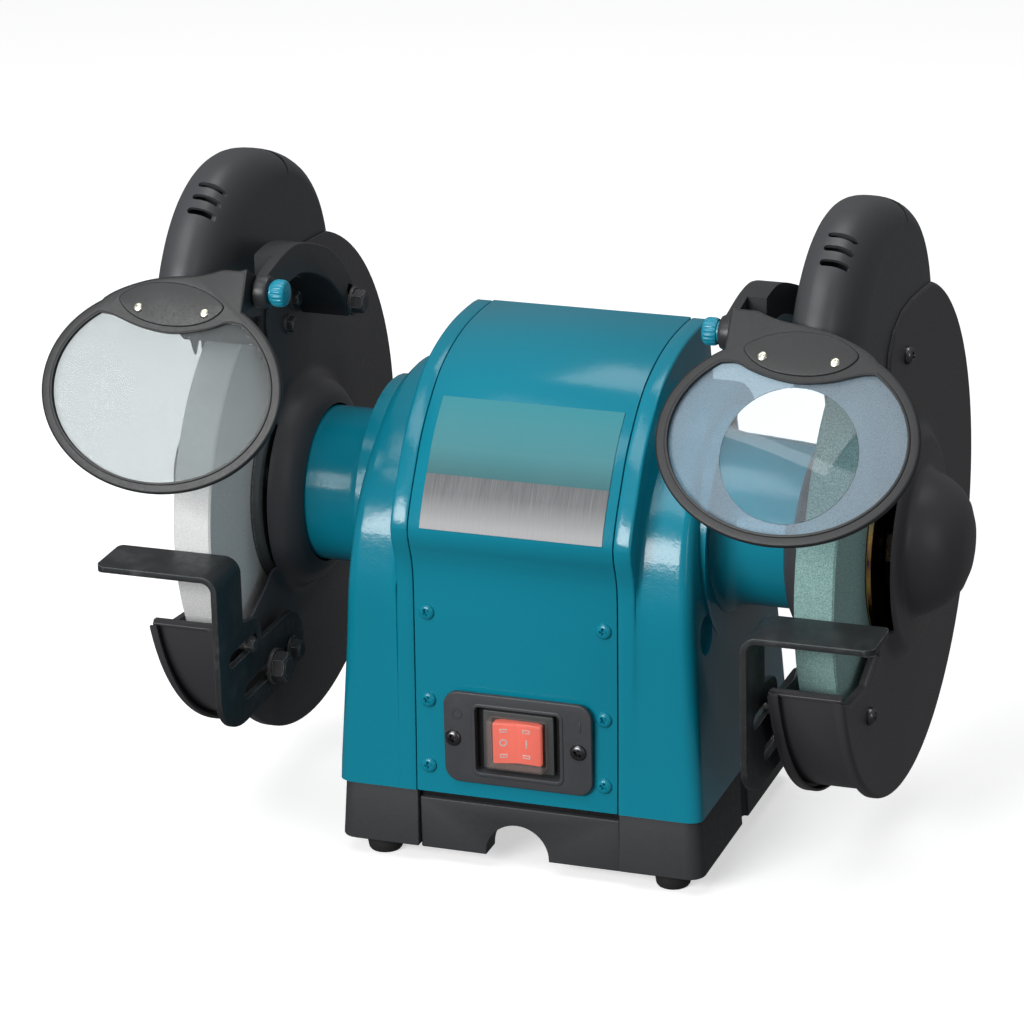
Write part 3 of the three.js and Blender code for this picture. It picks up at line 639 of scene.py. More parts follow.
def painted_glow_red():
    n = Nodes("rocker_red")
    # the emission is a painted glow on the plain red rocker; the colour is lighter in the middle and darker towards
    # both ends
    n.set(Roughness=0.25, Emission_Color=(1.0, 0.16, 0.10), Emission_Strength=0.45)
    x = n.xyz()[0]
    f = n.math("ADD", n.math("MULTIPLY", n.math("ABSOLUTE", x), 45.0), n.math("MULTIPLY", n.noise(300, 2), 0.15), clamp=True)
    n.color(n.ramp(f, [(0.0, (0.85, 0.13, 0.08)), (1.0, (0.55, 0.05, 0.03))]))
    n.bump(n.noise(900, 2), 0.00002, 0.3)
    return n.m


def clear(name, tint, rough, ior=1.46, grain=0.0, film=0.0):
    """A clear plastic: a glass shader."""
    n = Nodes(name)
    n.set(Roughness=rough, IOR=ior, Transmission_Weight=1.0)
    n.set(Base_Color=tint)
    if grain:
        n.bump(n.noise(1100, 3, 0.7), grain, 1.0)
    n.bump(n.noise(60, 2), 0.00004, 0.2)
    return n.m


def glass_film(name, tint, opacity, rough, speck=0.0, speck_color=(1, 1, 1), grain=1400):
    """A thin lens: mostly see-through, with a glossy skin and a little haze."""
    m = bpy.data.materials.new(name)
    m.use_nodes = True
    t = m.node_tree
    t.nodes.clear()
    out = t.nodes.new("ShaderNodeOutputMaterial")
    co = t.nodes.new("ShaderNodeTexCoord").outputs["Object"]
    tr = t.nodes.new("ShaderNodeBsdfTransparent")
    tr.inputs["Color"].default_value = (*tint, 1)
    gl = t.nodes.new("ShaderNodeBsdfPrincipled")
    gl.inputs["Roughness"].default_value = rough
    gl.inputs["Base Color"].default_value = (*speck_color, 1)
    gl.inputs["Specular IOR Level"].default_value = 0.5
    mix = t.nodes.new("ShaderNodeMixShader")
    ns = t.nodes.new("ShaderNodeTexNoise")
    ns.inputs["Scale"].default_value = grain
    ns.inputs["Detail"].default_value = 4
    ns.inputs["Roughness"].default_value = 0.7
    t.links.new(co, ns.inputs["Vector"])
    mr = t.nodes.new("ShaderNodeMapRange")
    mr.inputs["From Min"].default_value = 0.35
    mr.inputs["From Max"].default_value = 0.65
    mr.inputs["To Min"].default_value = max(0.0, opacity - speck)
    mr.inputs["To Max"].default_value = opacity + speck
    t.links.new(ns.outputs["Fac"], mr.inputs["Value"])
    t.links.new(mr.outputs["Result"], mix.inputs[0])
    bp = t.nodes.new("ShaderNodeBump")
    bp.inputs["Distance"].default_value = 0.00003
    bp.inputs["Strength"].default_value = 0.4
    t.links.new(ns.outputs["Fac"], bp.inputs["Height"])
    t.links.new(bp.outputs["Normal"], gl.inputs["Normal"])
    t.links.new(tr.outputs[0], mix.inputs[1])
    t.links.new(gl.outputs[0], mix.inputs[2])
    t.links.new(mix.outputs[0], out.inputs["Surface"])
    return m


TEAL = paint_teal()
# two copies of one satin black paint: the hood copy at twice the brightness is painted light, the darker bracket copy
# is painted shade
HOOD_BLACK_LIT = satin_black("satin_black", 0.052, 0.34, 0.43)
BRACKET_BLACK_SHADED = satin_black("bracket_black_shaded", 0.027, 0.34, 0.43)
GUARD = powder_coat()
BASE = moulded("base_plastic", (0.036, 0.039, 0.042), 0.5, 0.62, 1300, 0.00007)
SWITCH = moulded("switch_plastic", (0.048, 0.052, 0.057), 0.42, 0.55, 1700, 0.00004)
# near-black, darker than any plastic here: painted shade for the gaps behind the seams, the strip under the cover and
# the inside of the switch well
SHADE_BLACK = moulded("near_black_painted_shade", (0.008, 0.008, 0.009), 0.45, 0.6, 1700, 0.00003)
BEZEL = moulded("switch_bezel", (0.060, 0.064, 0.064), 0.4, 0.5, 1900, 0.00003)
FRAME = satin_black("shield_black", 0.015, 0.42, 0.52, 2200, 0.00003)
RUBBER = rubber()
REST = dark_steel("rest_steel", (0.026, 0.029, 0.031), (0.34, 0.35, 0.36))
BOLT = dark_steel("bolt_steel", (0.05, 0.05, 0.053), (0.5, 0.5, 0.5), 0.0004)
SCREW_DARK = bright_steel("black_screw", (0.16, 0.16, 0.17), 0.22, 0.34, (1, 1, 1))
STEEL = bright_steel()
RIM_STEEL = dark_steel("flange_steel", (0.10, 0.115, 0.12), (0.62, 0.64, 0.65), 0.0012)
GOLD_EDGE = plated("gold_edge", (0.78, 0.48, 0.10), (0.85, 0.58, 0.16), (0.80, 0.50, 0.14))
ZINC = bright_steel("zinc", (0.78, 0.78, 0.66), 0.22, 0.36, (1, 1, 1))
IRON = dark_steel("core_iron", (0.10, 0.10, 0.10), (0.4, 0.4, 0.4), 0.0004)
GOLD = plated("yellow_plated", (0.20, 0.05, 0.22), (0.75, 0.48, 0.14), (0.85, 0.66, 0.30))
WHITE = abrasive("white_grain", (0.68, 0.69, 0.68), (0.86, 0.87, 0.86), 1500, 0.00010, (0.30, 0.62), (0.62, 0.63, 0.62))
GREEN = abrasive("green_grain", (0.11, 0.235, 0.22), (0.36, 0.56, 0.53), 1900, 0.00018, (0.34, 0.66), (0.16, 0.27, 0.26))
BLOTTER = paper("blotter_dark", (0.035, 0.010, 0.040), (0.060, 0.018, 0.065))
BLOTTER_W = paper("blotter_grey", (0.14, 0.14, 0.15), (0.22, 0.22, 0.23))
KNOB = moulded("knob_teal", (0.010, 0.25, 0.36), 0.24, 0.34, 1600, 0.00002)
RED = painted_glow_red()
MARK = moulded("mark_white", (0.80, 0.74, 0.72), 0.4, 0.5)
COVER = glass_film("clear_cover", (0.96, 0.94, 0.93), 0.09, 0.12, 0.02, (0.62, 0.55, 0.52))
LENS_L = glass_film("lens_clear", (0.71, 0.74, 0.745), 0.10, 0.06, 0.02, (0.62, 0.67, 0.68))
LENS_R = glass_film("lens_blue", (0.66, 0.78, 0.84), 0.42, 0.2, 0.09, (0.36, 0.45, 0.52), 2600)
MAGNIFIER = clear("magnifier", (0.86, 0.93, 0.98), 0.02, 1.49)
LABEL_UP = label_upper()
LABEL_LOW = foil_band_painted_reflection()
PLATE_IRON = moulded("painted_sheet", (0.045, 0.047, 0.05), 0.45, 0.6)


# ------------------------------------------------------------------ fasteners, drawn along +Z with the seat at z = 0
def pan_phillips(r, h, n=28):
    prof = [(0, h), (0.35 * r, h * 0.985), (0.62 * r, h * 0.9), (0.83 * r, h * 0.72), (0.96 * r, h * 0.42), (r, h * 0.2), (r, 0), (0, -0.4)]
    head = turned(prof, n, "Z", (0, 0))
    w, l = r * 0.2, r * 0.62
    arms = []
    for k in range(2):
        bm = bmesh.new()
        bmesh.ops.create_cube(bm, size=1)
        for v in bm.verts:
            top = v.co.z > 0
            v.co = (v.co.x * 2 * l * (1.0 if top else 0.45), v.co.y * 2 * w * (1.0 if top else 0.6), h + 0.5 if top else h * 0.18)
        me = to_mesh(bm)
        me.transform(Matrix.Rotation(k * math.pi / 2, 4, "Z"))
        arms.append(me)
    return boolean(head, arms)


def hex_head(af, h, r_wash=0.0, t_wash=0.0):
    r = af / math.sqrt(3)
    hexa = prism([(r * math.cos(i * 60 * deg), r * math.sin(i * 60 * deg)) for i in range(6)], t_wash - 0.02, t_wash + h, "Z")
    c = af / 2
    cone = turned([(0, t_wash - 1), (r + 0.2, t_wash - 1), (r + 0.2, t_wash + h - 0.75 - (r + 0.2 - c) * 0.35), (c * 0.97, t_wash + h), (0, t_wash + h)], 36, "Z", (0, 0))
    head = meet(hexa, cone)
    crown = turned([(0, t_wash + h - 0.3), (c * 0.78, t_wash + h - 0.3), (c * 0.72, t_wash + h + 0.12), (0, t_wash + h + 0.12)], 28, "Z", (0, 0))
    parts = [head, crown]
    if r_wash:
        parts.append(turned([(0, 0), (r_wash, 0), (r_wash, t_wash * 0.6), (r_wash - 0.35, t_wash), (0, t_wash)], 40, "Z", (0, 0)))
    return union(*parts)


# ------------------------------------------------------------------ housing
COVER_LINE = [
    (-80.7, 40), (-80.0, 55), (-79.3, 69.6), (-78.2, 98), (-77.4, 125), (-76.9, 148), (-77.6, 156), (-79.5, 163), (-81.6, 168.7), (-82.4, 173), (-82.2, 176.6),
    (-78, 186.6), (-70, 200), (-59.8, 215), (-46.8, 228), (-32.3, 238.7), (-14.5, 245.5), (5, 249.4), (25, 250.5), (44, 250),
]
REAR_LINE = [(44, 249.6), (53.5, 205), (60, 163), (68, 92), (72, 40)]
FINE = smooth(COVER_LINE, 6)


def front_y(z):
    """The front surface of the cover at a height."""
    best = None
    for a, b in zip(FINE[:-1], FINE[1:]):
        if a[1] <= z <= b[1] and a[0] < 0:
            t = (z - a[1]) / max(b[1] - a[1], 1e-6)
            best = a[0] + (b[0] - a[0]) * t
            break
    return best


SWX = 2.1
sheet = prism(strip(FINE, 0, -1.5), -50.95, 50.95, "X", 0.45, 2)
sheet = cut(sheet, box(SWX - 22.6, SWX + 22.6, -90, -70, 52.9, 89.9))
piece("cover_sheet", sheet, TEAL, "frame", replaces="motor_cover", angle=30)

# a near-black sheet behind the seams: painted shade in the gaps, so that they read as joints
for s in (-1, 1):
    lin = prism(strip(FINE, -1.9, -3.2), 49, 53.5, "X")
    piece("seam_shade_sheet_" + ("left" if s < 0 else "right"), lin, SHADE_BLACK, "frame", side=s)

rear = prism(strip(smooth([(44, 248)] + REAR_LINE[1:], 4), 0, -1.5), -50.95, 50.95, "X", 0.4, 2)
rear_tools = []
for i in range(6):
    z0 = 104 + 8 * i
    rear_tools.append(prism(slot(-30, 30, z0, z0 + 3.6), 30, 90, "Y"))
rear_tools.append(turned([(0, 30), (8.3, 30), (8.3, 90), (0, 90)], 32, "Y", (0, 68)))
rear = cut(rear, *rear_tools)
piece("rear_sheet", rear, TEAL, "frame", replaces="rear_panel", angle=30)


# End casting: a raised band beside the cover and a lower shoulder, lofted along X.
def closed_profile(line, tail, corner):
    pts = [tuple(p) for p in line] + tail
    r = [0 if p[1] < 40.5 else 1.0 if p[0] > 30 and p[1] > 240 else corner for p in pts]
    return tidy(fillet(pts, r, 5, 150))


BAND = closed_profile([(-80.7, 39.7)] + FINE[1:-3], [(36, 250.4), (44, 249.9), (53.5, 205), (60, 163), (68, 92), (72, 39.7)], 5)
SH = smooth([(-80.68, 39.7), (-79.25, 69.6), (-77.35, 110), (-76.1, 140), (-73.6, 153.5), (-68, 172), (-58, 189), (-43.5, 204), (-27, 216), (-12, 222.5), (6, 225.2), (28, 224.5), (43, 218), (53, 203), (60, 163), (68, 92), (72, 39.7)], 5)
SHOULDER = tidy(SH)
CENTRE = (-4.0, 118.0)


def radius(poly, th):
    dx, dz = math.cos(th), math.sin(th)
    best = 0
    n = len(poly)
    for i in range(n):
        ax, az = poly[i][0] - CENTRE[0], poly[i][1] - CENTRE[1]
        bx, bz = poly[(i + 1) % n][0] - CENTRE[0], poly[(i + 1) % n][1] - CENTRE[1]
        den = dx * (bz - az) - dz * (bx - ax)
        if abs(den) < 1e-9:
            continue
        t = (ax * (bz - az) - az * (bx - ax)) / den
        u = (ax * dz - az * dx) / den
        if t > 0 and -1e-6 <= u <= 1 + 1e-6:
            best = max(best, t)
    return best


def casting():
    # directions: even steps, with the bottom corners among them
    angles = [i * 360 / 150 for i in range(150)]
    for y, z in ((-80.7, 39.7), (72, 39.7), (44, 249.9), (-82.3, 175.5)):
        angles.append(math.degrees(math.atan2(z - CENTRE[1], y - CENTRE[0])) % 360)
    angles = sorted(set(round(a, 3) for a in angles))
    RB = [radius(BAND, a * deg) for a in angles]
    RS = [radius(SHOULDER, a * deg) for a in angles]
    low = [CENTRE[1] + r * math.sin(a * deg) < 39.9 for a, r in zip(angles, RB)]

    def section(x, rad):
        ring = []
        for a, r0, r, is_low in zip(angles, RB, rad, low):
            y, z = CENTRE[0] + r * math.cos(a * deg), CENTRE[1] + r * math.sin(a * deg)
            if is_low:
                k = r / r0
                y = CENTRE[0] + (CENTRE[0] + r0 * math.cos(a * deg) - CENTRE[0]) * k
                z = 39.7
            ring.append((x, y, z))
        return ring

    def floor(rad, f):
        return [max(1.0, r - f) for r in rad]

    secs = []
    for x, ins in ((51.4, 0.55), (51.55, 0.2), (51.95, 0.0), (55, 0.0)):
        secs.append(section(x, floor(RB, ins)))
    rb = 1.5
    for k in range(0, 5):
        t = k / 4 * 90 * deg
        off = rb * (1 - math.cos(t))
        secs.append(section(58.6 + rb * math.sin(t), [max(s, b - off) for s, b in zip(RS, RB)]))
    rf = 3.0
    for k in range(0, 6):
        t = k / 5 * 90 * deg
        off = rf * (1 - math.sin(t))
        secs.append(section(60.15 + rf * (1 - math.cos(t)), [min(b - rb * 0.999, s + off) if b - s > rb else s + max(0.0, (b - s)) * (1 - k / 5) for s, b in zip(RS, RB)]))
    for x in (68, 76):
        secs.append(section(x, RS))
    rc = 8.0
    for k in range(0, 9):
        t = k / 8 * 90 * deg
        secs.append(section(92.2 - rc + rc * math.sin(t), floor(RS, rc * (1 - math.cos(t)))))
    # the side face leans inwards towards the top, as one flat plane
    def leaned(ring):
        return [(x - 0.0525 * max(0.0, z - 42.0) * max(0.0, (x - 60.0) / 32.2), y, z) for x, y, z in ring]

    secs = [leaned(r) for r in secs]
    inner = []
    for x, rad in ((86.5, floor(RS, 13)), (83, floor(RS, 7)), (66, floor(RS, 6.5)), (57, floor(RB, 7)), (51.4, floor(RB, 6))):
        ring = section(x, rad)
        inner.append(leaned([(p[0], p[1], max(p[2], 44.5)) for p in ring]))
    bm = bmesh.new()
    rings = [[bm.verts.new(p) for p in s] for s in secs + inner]
    n = len(angles)
    order = list(range(len(secs)))
    for i in order[:-1]:
        A, B = rings[i], rings[i + 1]
        for k in range(n):
            k2 = (k + 1) % n
            bm.faces.new((A[k], A[k2], B[k2], B[k]))
    bm.faces.new(rings[len(secs) - 1])
    bm.faces.new(rings[len(secs)][::-1])
    for i in range(len(secs), len(secs) + len(inner) - 1):
        A, B = rings[i], rings[i + 1]
        for k in range(n):
            k2 = (k + 1) % n
            bm.faces.new((A[k], A[k2], B[k2], B[k]))
    A, B = rings[-1], rings[0]
    for k in range(n):
        k2 = (k + 1) % n
        bm.faces.new((A[k], A[k2], B[k2], B[k]))
    shell = to_mesh(bm)
    shell = cut(shell, disc(33.2, 76, 100, 0, SPINDLE_Z, 48), disc(9.5, 84, 100, -54.5, 126, 40))
    tube = [(44.5, 86), (43.6, 88.4), (41.6, 90.2), (39.8, 92.4), (38.7, 95.2), (38.3, 98.5), (38.3, 132.0), (37.5, 132.8), (33, 132.8), (33, 116), (23.8, 116), (23.8, 98), (18, 98), (18, 95), (33, 95), (33, 84), (44.5, 84)]
    barrel = turned(tube, 72)
    ring = turned([(54.3, 30), (57, 30), (57, 88.2), (54.3, 88.2)], 48)
    pocket = turned([(0, 83.2), (10.2, 83.2), (10.2, 84.6), (0, 84.6)], 32, "X", (-54.5, 126))
    return union(shell, barrel, ring, pocket)


cast = casting()
for name, s in (("left", -1), ("right", 1)):
    piece("casting_" + name, cast, TEAL, "frame", side=s, replaces="end_casting_" + name, angle=38)

# six teal pan head screws in the front
for i, (x, z) in enumerate([(sx * 44.5, z) for z in (132, 87.3, 53.7) for sx in (-1, 1)]):
    y = front_y(z)
    me = aimed(pan_phillips(3.9, 1.9), (x, y + 0.05, z), (0, -1, 0.02), 0.5 + 1.1 * i)
    piece(f"front_screw_{i + 1}", me, TEAL, "frame")
for i, (x, z) in enumerate([(sx * 44.5, z) for z in (215, 132, 60) for sx in (-1, 1)]):
    y = 72 - (z - 40) * 12 / 123 if z < 163 else 60 - (z - 163) * 6.5 / 42
    me = aimed(pan_phillips(3.9, 1.9), (x, y, z), (0, 1, 0.1), 0.8 * i)
    piece(f"rear_screw_{i + 1}", me, TEAL, "frame")

# label plate, left bare: a translucent upper field over a foil band whose colour carries a painted reflection, light at
# the bottom and dark at the top
line = [p for p in FINE if p[1] >= 176.4 and p[1] <= 231.5 and p[0] < -40]
cut_at = None
for a, b in zip(line[:-1], line[1:]):
    if a[1] <= 200 < b[1]:
        t = (200 - a[1]) / (b[1] - a[1])
        cut_at = (a[0] + (b[0] - a[0]) * t, 200.0)
split = [cut_at] + [p for p in line if p[1] > 200.2]
lower = [p for p in line if p[1] < 199.8] + [cut_at]
piece("label_field", prism(strip(split, 0.5, 0.06), -45, 46, "X", 0.12, 1), LABEL_UP, "frame", replaces="label_plate")
piece("label_band", prism(strip(lower, 0.52, 0.06), -45, 46, "X", 0.12, 1), LABEL_LOW, "frame")

# ------------------------------------------------------------------ base
def base_block():
    plan = fillet([(51.2, -80.4), (92.5, -80.4), (92.5, 74), (51.2, 74)], [0.6, 8, 8, 0.6], 7)
    blk = prism(plan, 9.7, 39.3, "Z", 1.6, 4)
    for v in blk.vertices:
        t = (v.co.z - 9.7) / 29.6
        v.co.x = 51.2 + (v.co.x - 51.2) * (1 - 0.045 * t)
        v.co.y *= 1 - 0.016 * t
    tools = [
        box(50, 87.4, -74.4, 70.4, 36.7, 41), box(56.4, 87.0, -56, 54, 9, 33),
        prism(fillet([(89.6, -12), (94, -12), (94, -1), (89.6, -1)], [1.5, 0, 0, 1.5], 3), 9, 36, "Z"),
    ]
    return cut(blk, *tools)


blk = base_block()
for name, s in (("left", -1), ("right", 1)):
    piece("block_" + name, blk, BASE, "frame", side=s, replaces="base_block_" + name, angle=40)

notch = [(-17.5, 7)] + [(-1.5 - 16 * math.cos(i * 7.5 * deg), 9.4 + 16 * math.sin(i * 7.5 * deg)) for i in range(25)] + [(14.5, 7)]
outline = fillet([(-50.9, 8.2), (50.9, 8.2), (50.9, 35), (-50.9, 35)], 0.8, 3)
bridge = cut(prism(outline, -77.4, -64, "Y", 0.9, 3), prism(notch, -80, -60, "Y"))
piece("front_bridge", bridge, BASE, "frame", replaces="base_front_bridge", angle=40, bevel=0.35)
# a near-black strip on the upper lip of the bridge: painted shade for the shadow below the cover
piece("bridge_shade_strip", box(-50.6, 50.6, -75.2, -70, 35.2, 39.2, 0.5), SHADE_BLACK, "frame")

for name, x, y in (("foot_front_left", -74, -66), ("foot_front_right", 74, -66), ("foot_rear_left", -74, 64), ("foot_rear_right", 74, 64)):
    prof = [(0, 1.6), (3.2, 1.6), (3.8, 0), (6.6, 0), (7.6, 0.35), (8.3, 1.3), (8.9, 5), (9.2, 9.4), (0, 9.4)]
    me = turned(prof, 40, "Z", (x, y))
    piece(name + "_rubber", me, RUBBER, "frame", replaces=name, angle=45)

# ------------------------------------------------------------------ switch
plan = fillet([(SWX - 37.4, 48.2), (SWX + 37.4, 48.2), (SWX + 37.4, 95), (SWX - 37.4, 95)], 7.5, 9)
plate = prism(plan, -83.2, -80.7, "Y", 0.7, 4)
well = prism(fillet([(SWX - 21.8, 53.9), (SWX + 21.8, 53.9), (SWX + 21.8, 88.8), (SWX - 21.8, 88.8)], 2.6, 6), -90, -70, "Y")
plate = cut(plate, well)
piece("switch_face", plate, SWITCH, "frame", replaces="switch_plate", angle=35)
# rim of the well, turned inwards with a soft edge
rim_out = fillet([(SWX - 23.2, 52.2), (SWX + 23.2, 52.2), (SWX + 23.2, 90.2), (SWX - 23.2, 90.2)], 3.8, 8)
rim_in = fillet([(SWX - 21.4, 54.3), (SWX + 21.4, 54.3), (SWX + 21.4, 88.4), (SWX - 21.4, 88.4)], 2.4, 8)
rim = cut(prism(rim_out, -83.7, -76, "Y", 0.7, 4), prism(rim_in, -90, -70, "Y"))
piece("switch_rim", rim, SWITCH, "frame", angle=35, bevel=0.3)
# the well's floor in near-black painted shade
back = cut(box(SWX - 22.4, SWX + 22.4, -78.4, -76.4, 53.2, 89.6), box(SWX - 15, SWX + 15, -90, -70, 58, 85))
piece("well_floor", back, SHADE_BLACK, "frame")
bez = cut(
    prism(fillet([(SWX - 17.8, 56.5), (SWX + 17.8, 56.5), (SWX + 17.8, 86.5), (SWX - 17.8, 86.5)], 0.9, 4), -81.7, -76.5, "Y", 0.4, 3),
    prism(fillet([(SWX - 13.6, 60), (SWX + 13.6, 60), (SWX + 13.6, 83), (SWX - 13.6, 83)], 0.9, 3), -90, -70, "Y"),
)
piece("switch_bezel", bez, BEZEL, "frame", replaces="switch_body", angle=35)
# the inner walls round the rocker in near-black painted shade
inner = cut(box(SWX - 15.3, SWX + 15.3, -79.5, -50, 57.5, 85.5), box(SWX - 13.7, SWX + 13.7, -90, -73, 59.8, 83.2))
piece("switch_inner", inner, SHADE_BLACK, "frame")
for i, x in enumerate((-30.6, 32.7)):
    me = aimed(pan_phillips(4.1, 2.2), (x, -83.05, 70.9), (0, -1, 0), 0.35 + i * 0.7)
    piece(f"switch_screw_{i + 1}", me, SCREW_DARK, "frame")
# small raised marks: a bar for on, a ring for off
bar = box(33.2, 34.2, -83.5, -83.0, 81.2, 86.6, 0.2)
piece("mark_on", bar, SWITCH, "frame")
ring = turned([(1.9, -83.5), (2.9, -83.5), (2.9, -83.0), (1.9, -83.0)], 28, "Y", (-28.6, 83.6))
piece("mark_off", ring, SWITCH, "frame")

rock_line = [(-11.9, -86.0), (0, -82.9), (11.9, -83.6), (11.9, -80.5), (5, -76), (-5, -76), (-11.9, -80.5)]
rock = prism(fillet([(x + SWX, y) for x, y in rock_line], [0.9, 3, 0.9, 1, 1, 1, 1], 4), 61.1, 81.9, "Z", 0.6, 3)
piece("rocker_cap", rock, RED, "rocker", replaces="switch_rocker", angle=35)


def rocker_y(x):
    x -= SWX
    return -86.0 + (x + 11.9) * 3.1 / 11.9 if x < 0 else -82.9 - x * 0.7 / 11.9


def mark(name, x, z, w, h, t=0.5):
    y = rocker_y(x)
    a = (rocker_y(x + 1) - rocker_y(x - 1)) / 2
    frame_me = cut(box(-w / 2, w / 2, -0.25, 0.35, -h / 2, h / 2, 0.15, 1), box(-w / 2 + t, w / 2 - t, -1, 1, -h / 2 + t, h / 2 - t))
    frame_me.transform(Matrix.Translation((x, y, z)) @ Matrix.Rotation(math.atan(a), 4, "Z"))
    piece(name, frame_me, MARK, "rocker")


for i, z in enumerate((78.2, 65.2)):
    mark(f"rocker_mark_a{i}", -4.4, z, 4.0, 1.9)
    mark(f"rocker_mark_b{i}", 6.6, z, 4.0, 1.9)
a = (rocker_y(-3.4) - rocker_y(-5.4)) / 2
ringm = turned([(1.2, -0.25), (1.9, -0.25), (1.9, 0.35), (1.2, 0.35)], 24, "Y", (0, 0))
ringm.transform(Matrix.Translation((-4.6, rocker_y(-4.6), 72.0)) @ Matrix.Rotation(math.atan(a), 4, "Z"))
piece("rocker_ring", ringm, MARK, "rocker")
barm = box(-0.45, 0.45, -0.25, 0.35, -2.1, 2.1, 0.15, 1)
barm.transform(Matrix.Translation((6.6, rocker_y(6.6), 71.8)))
piece("rocker_bar", barm, MARK, "rocker")

shell = cut(
    prism(fillet([(SWX - 14.3, 59), (SWX + 14.3, 59), (SWX + 14.3, 84), (SWX - 14.3, 84)], 1.2, 5), -88.6, -81.75, "Y", 1.0, 4, "a"),
    prism(fillet([(SWX - 13.6, 59.7), (SWX + 13.6, 59.7), (SWX + 13.6, 83.3), (SWX - 13.6, 83.3)], 0.9, 5), -87.9, -80, "Y", 0.7, 4, "a"),
)
piece("dust_cover", shell, COVER, "frame", replaces="switch_cover", angle=40)

# ------------------------------------------------------------------ cable inlet
gl = [(4, 62), (7.9, 62), (7.9, 72.4), (11, 72.4), (11, 74.4), (10.4, 75.2)]
y = 75.2
for i in range(4):
    gl += [(9.8 - 0.6 * i, y + 0.6), (9.0 - 0.6 * i, y + 1.4), (9.0 - 0.6 * i, y + 2.2), (9.6 - 0.6 * i, y + 2.9)]
    y += 3.0
gl += [(7.0, 88), (4, 88)]
piece("inlet_bush", turned(gl, 36, "Y", (0, 68)), RUBBER, "frame", replaces="cable_gland", angle=40)

# ------------------------------------------------------------------ wheels, flanges, spindle
for name, s in (("left", -1), ("right", 1)):
    prof = [(19, 144.3), (101.6, 144.3), (102.5, 145.2), (102.5, 162.4), (101.6, 163.3), (19, 163.3)]
    fine = []
    for a, b in zip(prof, prof[1:]):
        k = max(1, int(math.hypot(a[0] - b[0], a[1] - b[1]) / 6))
        fine += [(a[0] + (b[0] - a[0]) * i / k, a[1] + (b[1] - a[1]) * i / k) for i in range(k)]
    fine.append(prof[-1])
    piece("grinding_wheel_" + name, turned(fine, 144), WHITE if s < 0 else GREEN, "spindle", side=s, replaces="wheel_" + name, angle=30)
    piece("wheel_bush_" + name, turned([(8.2, 144.4), (18.9, 144.4), (18.9, 163.2), (8.2, 163.2)], 48), STEEL, "spindle", side=s)
    inner = [(8.2, 139.2), (22, 139.2), (22.6, 139.8), (44, 140.0), (45.6, 139.3), (49.6, 139.3), (50.6, 140.0), (51.2, 141.2), (51.4, 144.0), (42, 144.0), (38, 142.6), (8.2, 142.6)]
    piece("flange_in_" + name, turned(inner, 96), RIM_STEEL, "spindle", side=s, replaces="inner_flange_" + name, angle=30)
    outer = [(8.2, 167.2), (20, 167.2), (21, 168.4), (30, 168.4), (31.5, 167.4), (41, 167.0), (45.0, 166.4), (46.6, 165.6), (47.0, 163.95), (38, 163.95), (32, 164.8), (8.2, 164.8)]
    piece("flange_out_" + name, turned(outer, 96), GOLD if s > 0 else SCREW_DARK, "spindle", side=s, replaces="outer_flange_" + name, angle=30)
    piece("blotter_out_" + name, turned([(20, 163.38), (48.4, 163.38), (48.4, 163.85), (20, 163.85)], 96), BLOTTER if s > 0 else BLOTTER_W, "spindle", side=s)
    for k, (r0, r1, t) in enumerate(((47.6, 48.4, 164.15),)):
        piece(f"blotter_ring_{name}_{k + 1}", turned([(r0, 163.8), (r1, 163.8), (r1, t), (r0, t)], 96), GOLD_EDGE if s > 0 else SCREW_DARK, "spindle", side=s)
    piece("blotter_in_" + name, turned([(42.3, 144.05), (52.6, 144.05), (52.6, 144.25), (42.3, 144.25)], 96), BLOTTER_W, "spindle", side=s)
    nut = cut(moved(hex_head(24, 11), Matrix.Translation((167.5, 0, SPINDLE_Z)) @ Matrix.Rotation(90 * deg, 4, "Y")), disc(8.2, 160, 190, 0, SPINDLE_Z, 32))
    piece("nut_" + name, nut, STEEL, "spindle", side=s, replaces="spindle_nut_" + name)

# ------------------------------------------------------------------ guards
GUARD_R = 123.3
FRONT = [(-103.8, 121), (-75, 118), (-57, 125.5), (-33, 138), (-33, 190), (-36, 215), (-40.5, 256), (-37.9, 268.5), (-29.2, 276.5), (-13.1, 281.8), (3.4, 282.6), (24, 281.2)]
ROUND = fillet(FRONT, [0, 5, 5, 4, 6, 6, 7, 7, 8, 8, 8, 0], 5, 178)
plate_outline = arc(GUARD_R, 197, 422, 2.5) + arc(GUARD_R, 422, 431, 2)[1:] + ROUND[::-1]
OPEN_FRONT = [(-33.1, 150), (-33.8, 138.6), (-36, 136.8), (-57.1, 125.8), (-60, 124.6), (-75, 118.2), (-95, 120), (-95, 215), (-36.1, 215), (-33.1, 190)]
CLAMP, LOCK, GUIDE, FOOT_BOLT, COVER_SCREW, LOW_SCREW = (-70, 91.5), (-47, 91.5), (-98, 114), (8, 255.5), (-8.6, 258.5), (-72.7, 102.4)

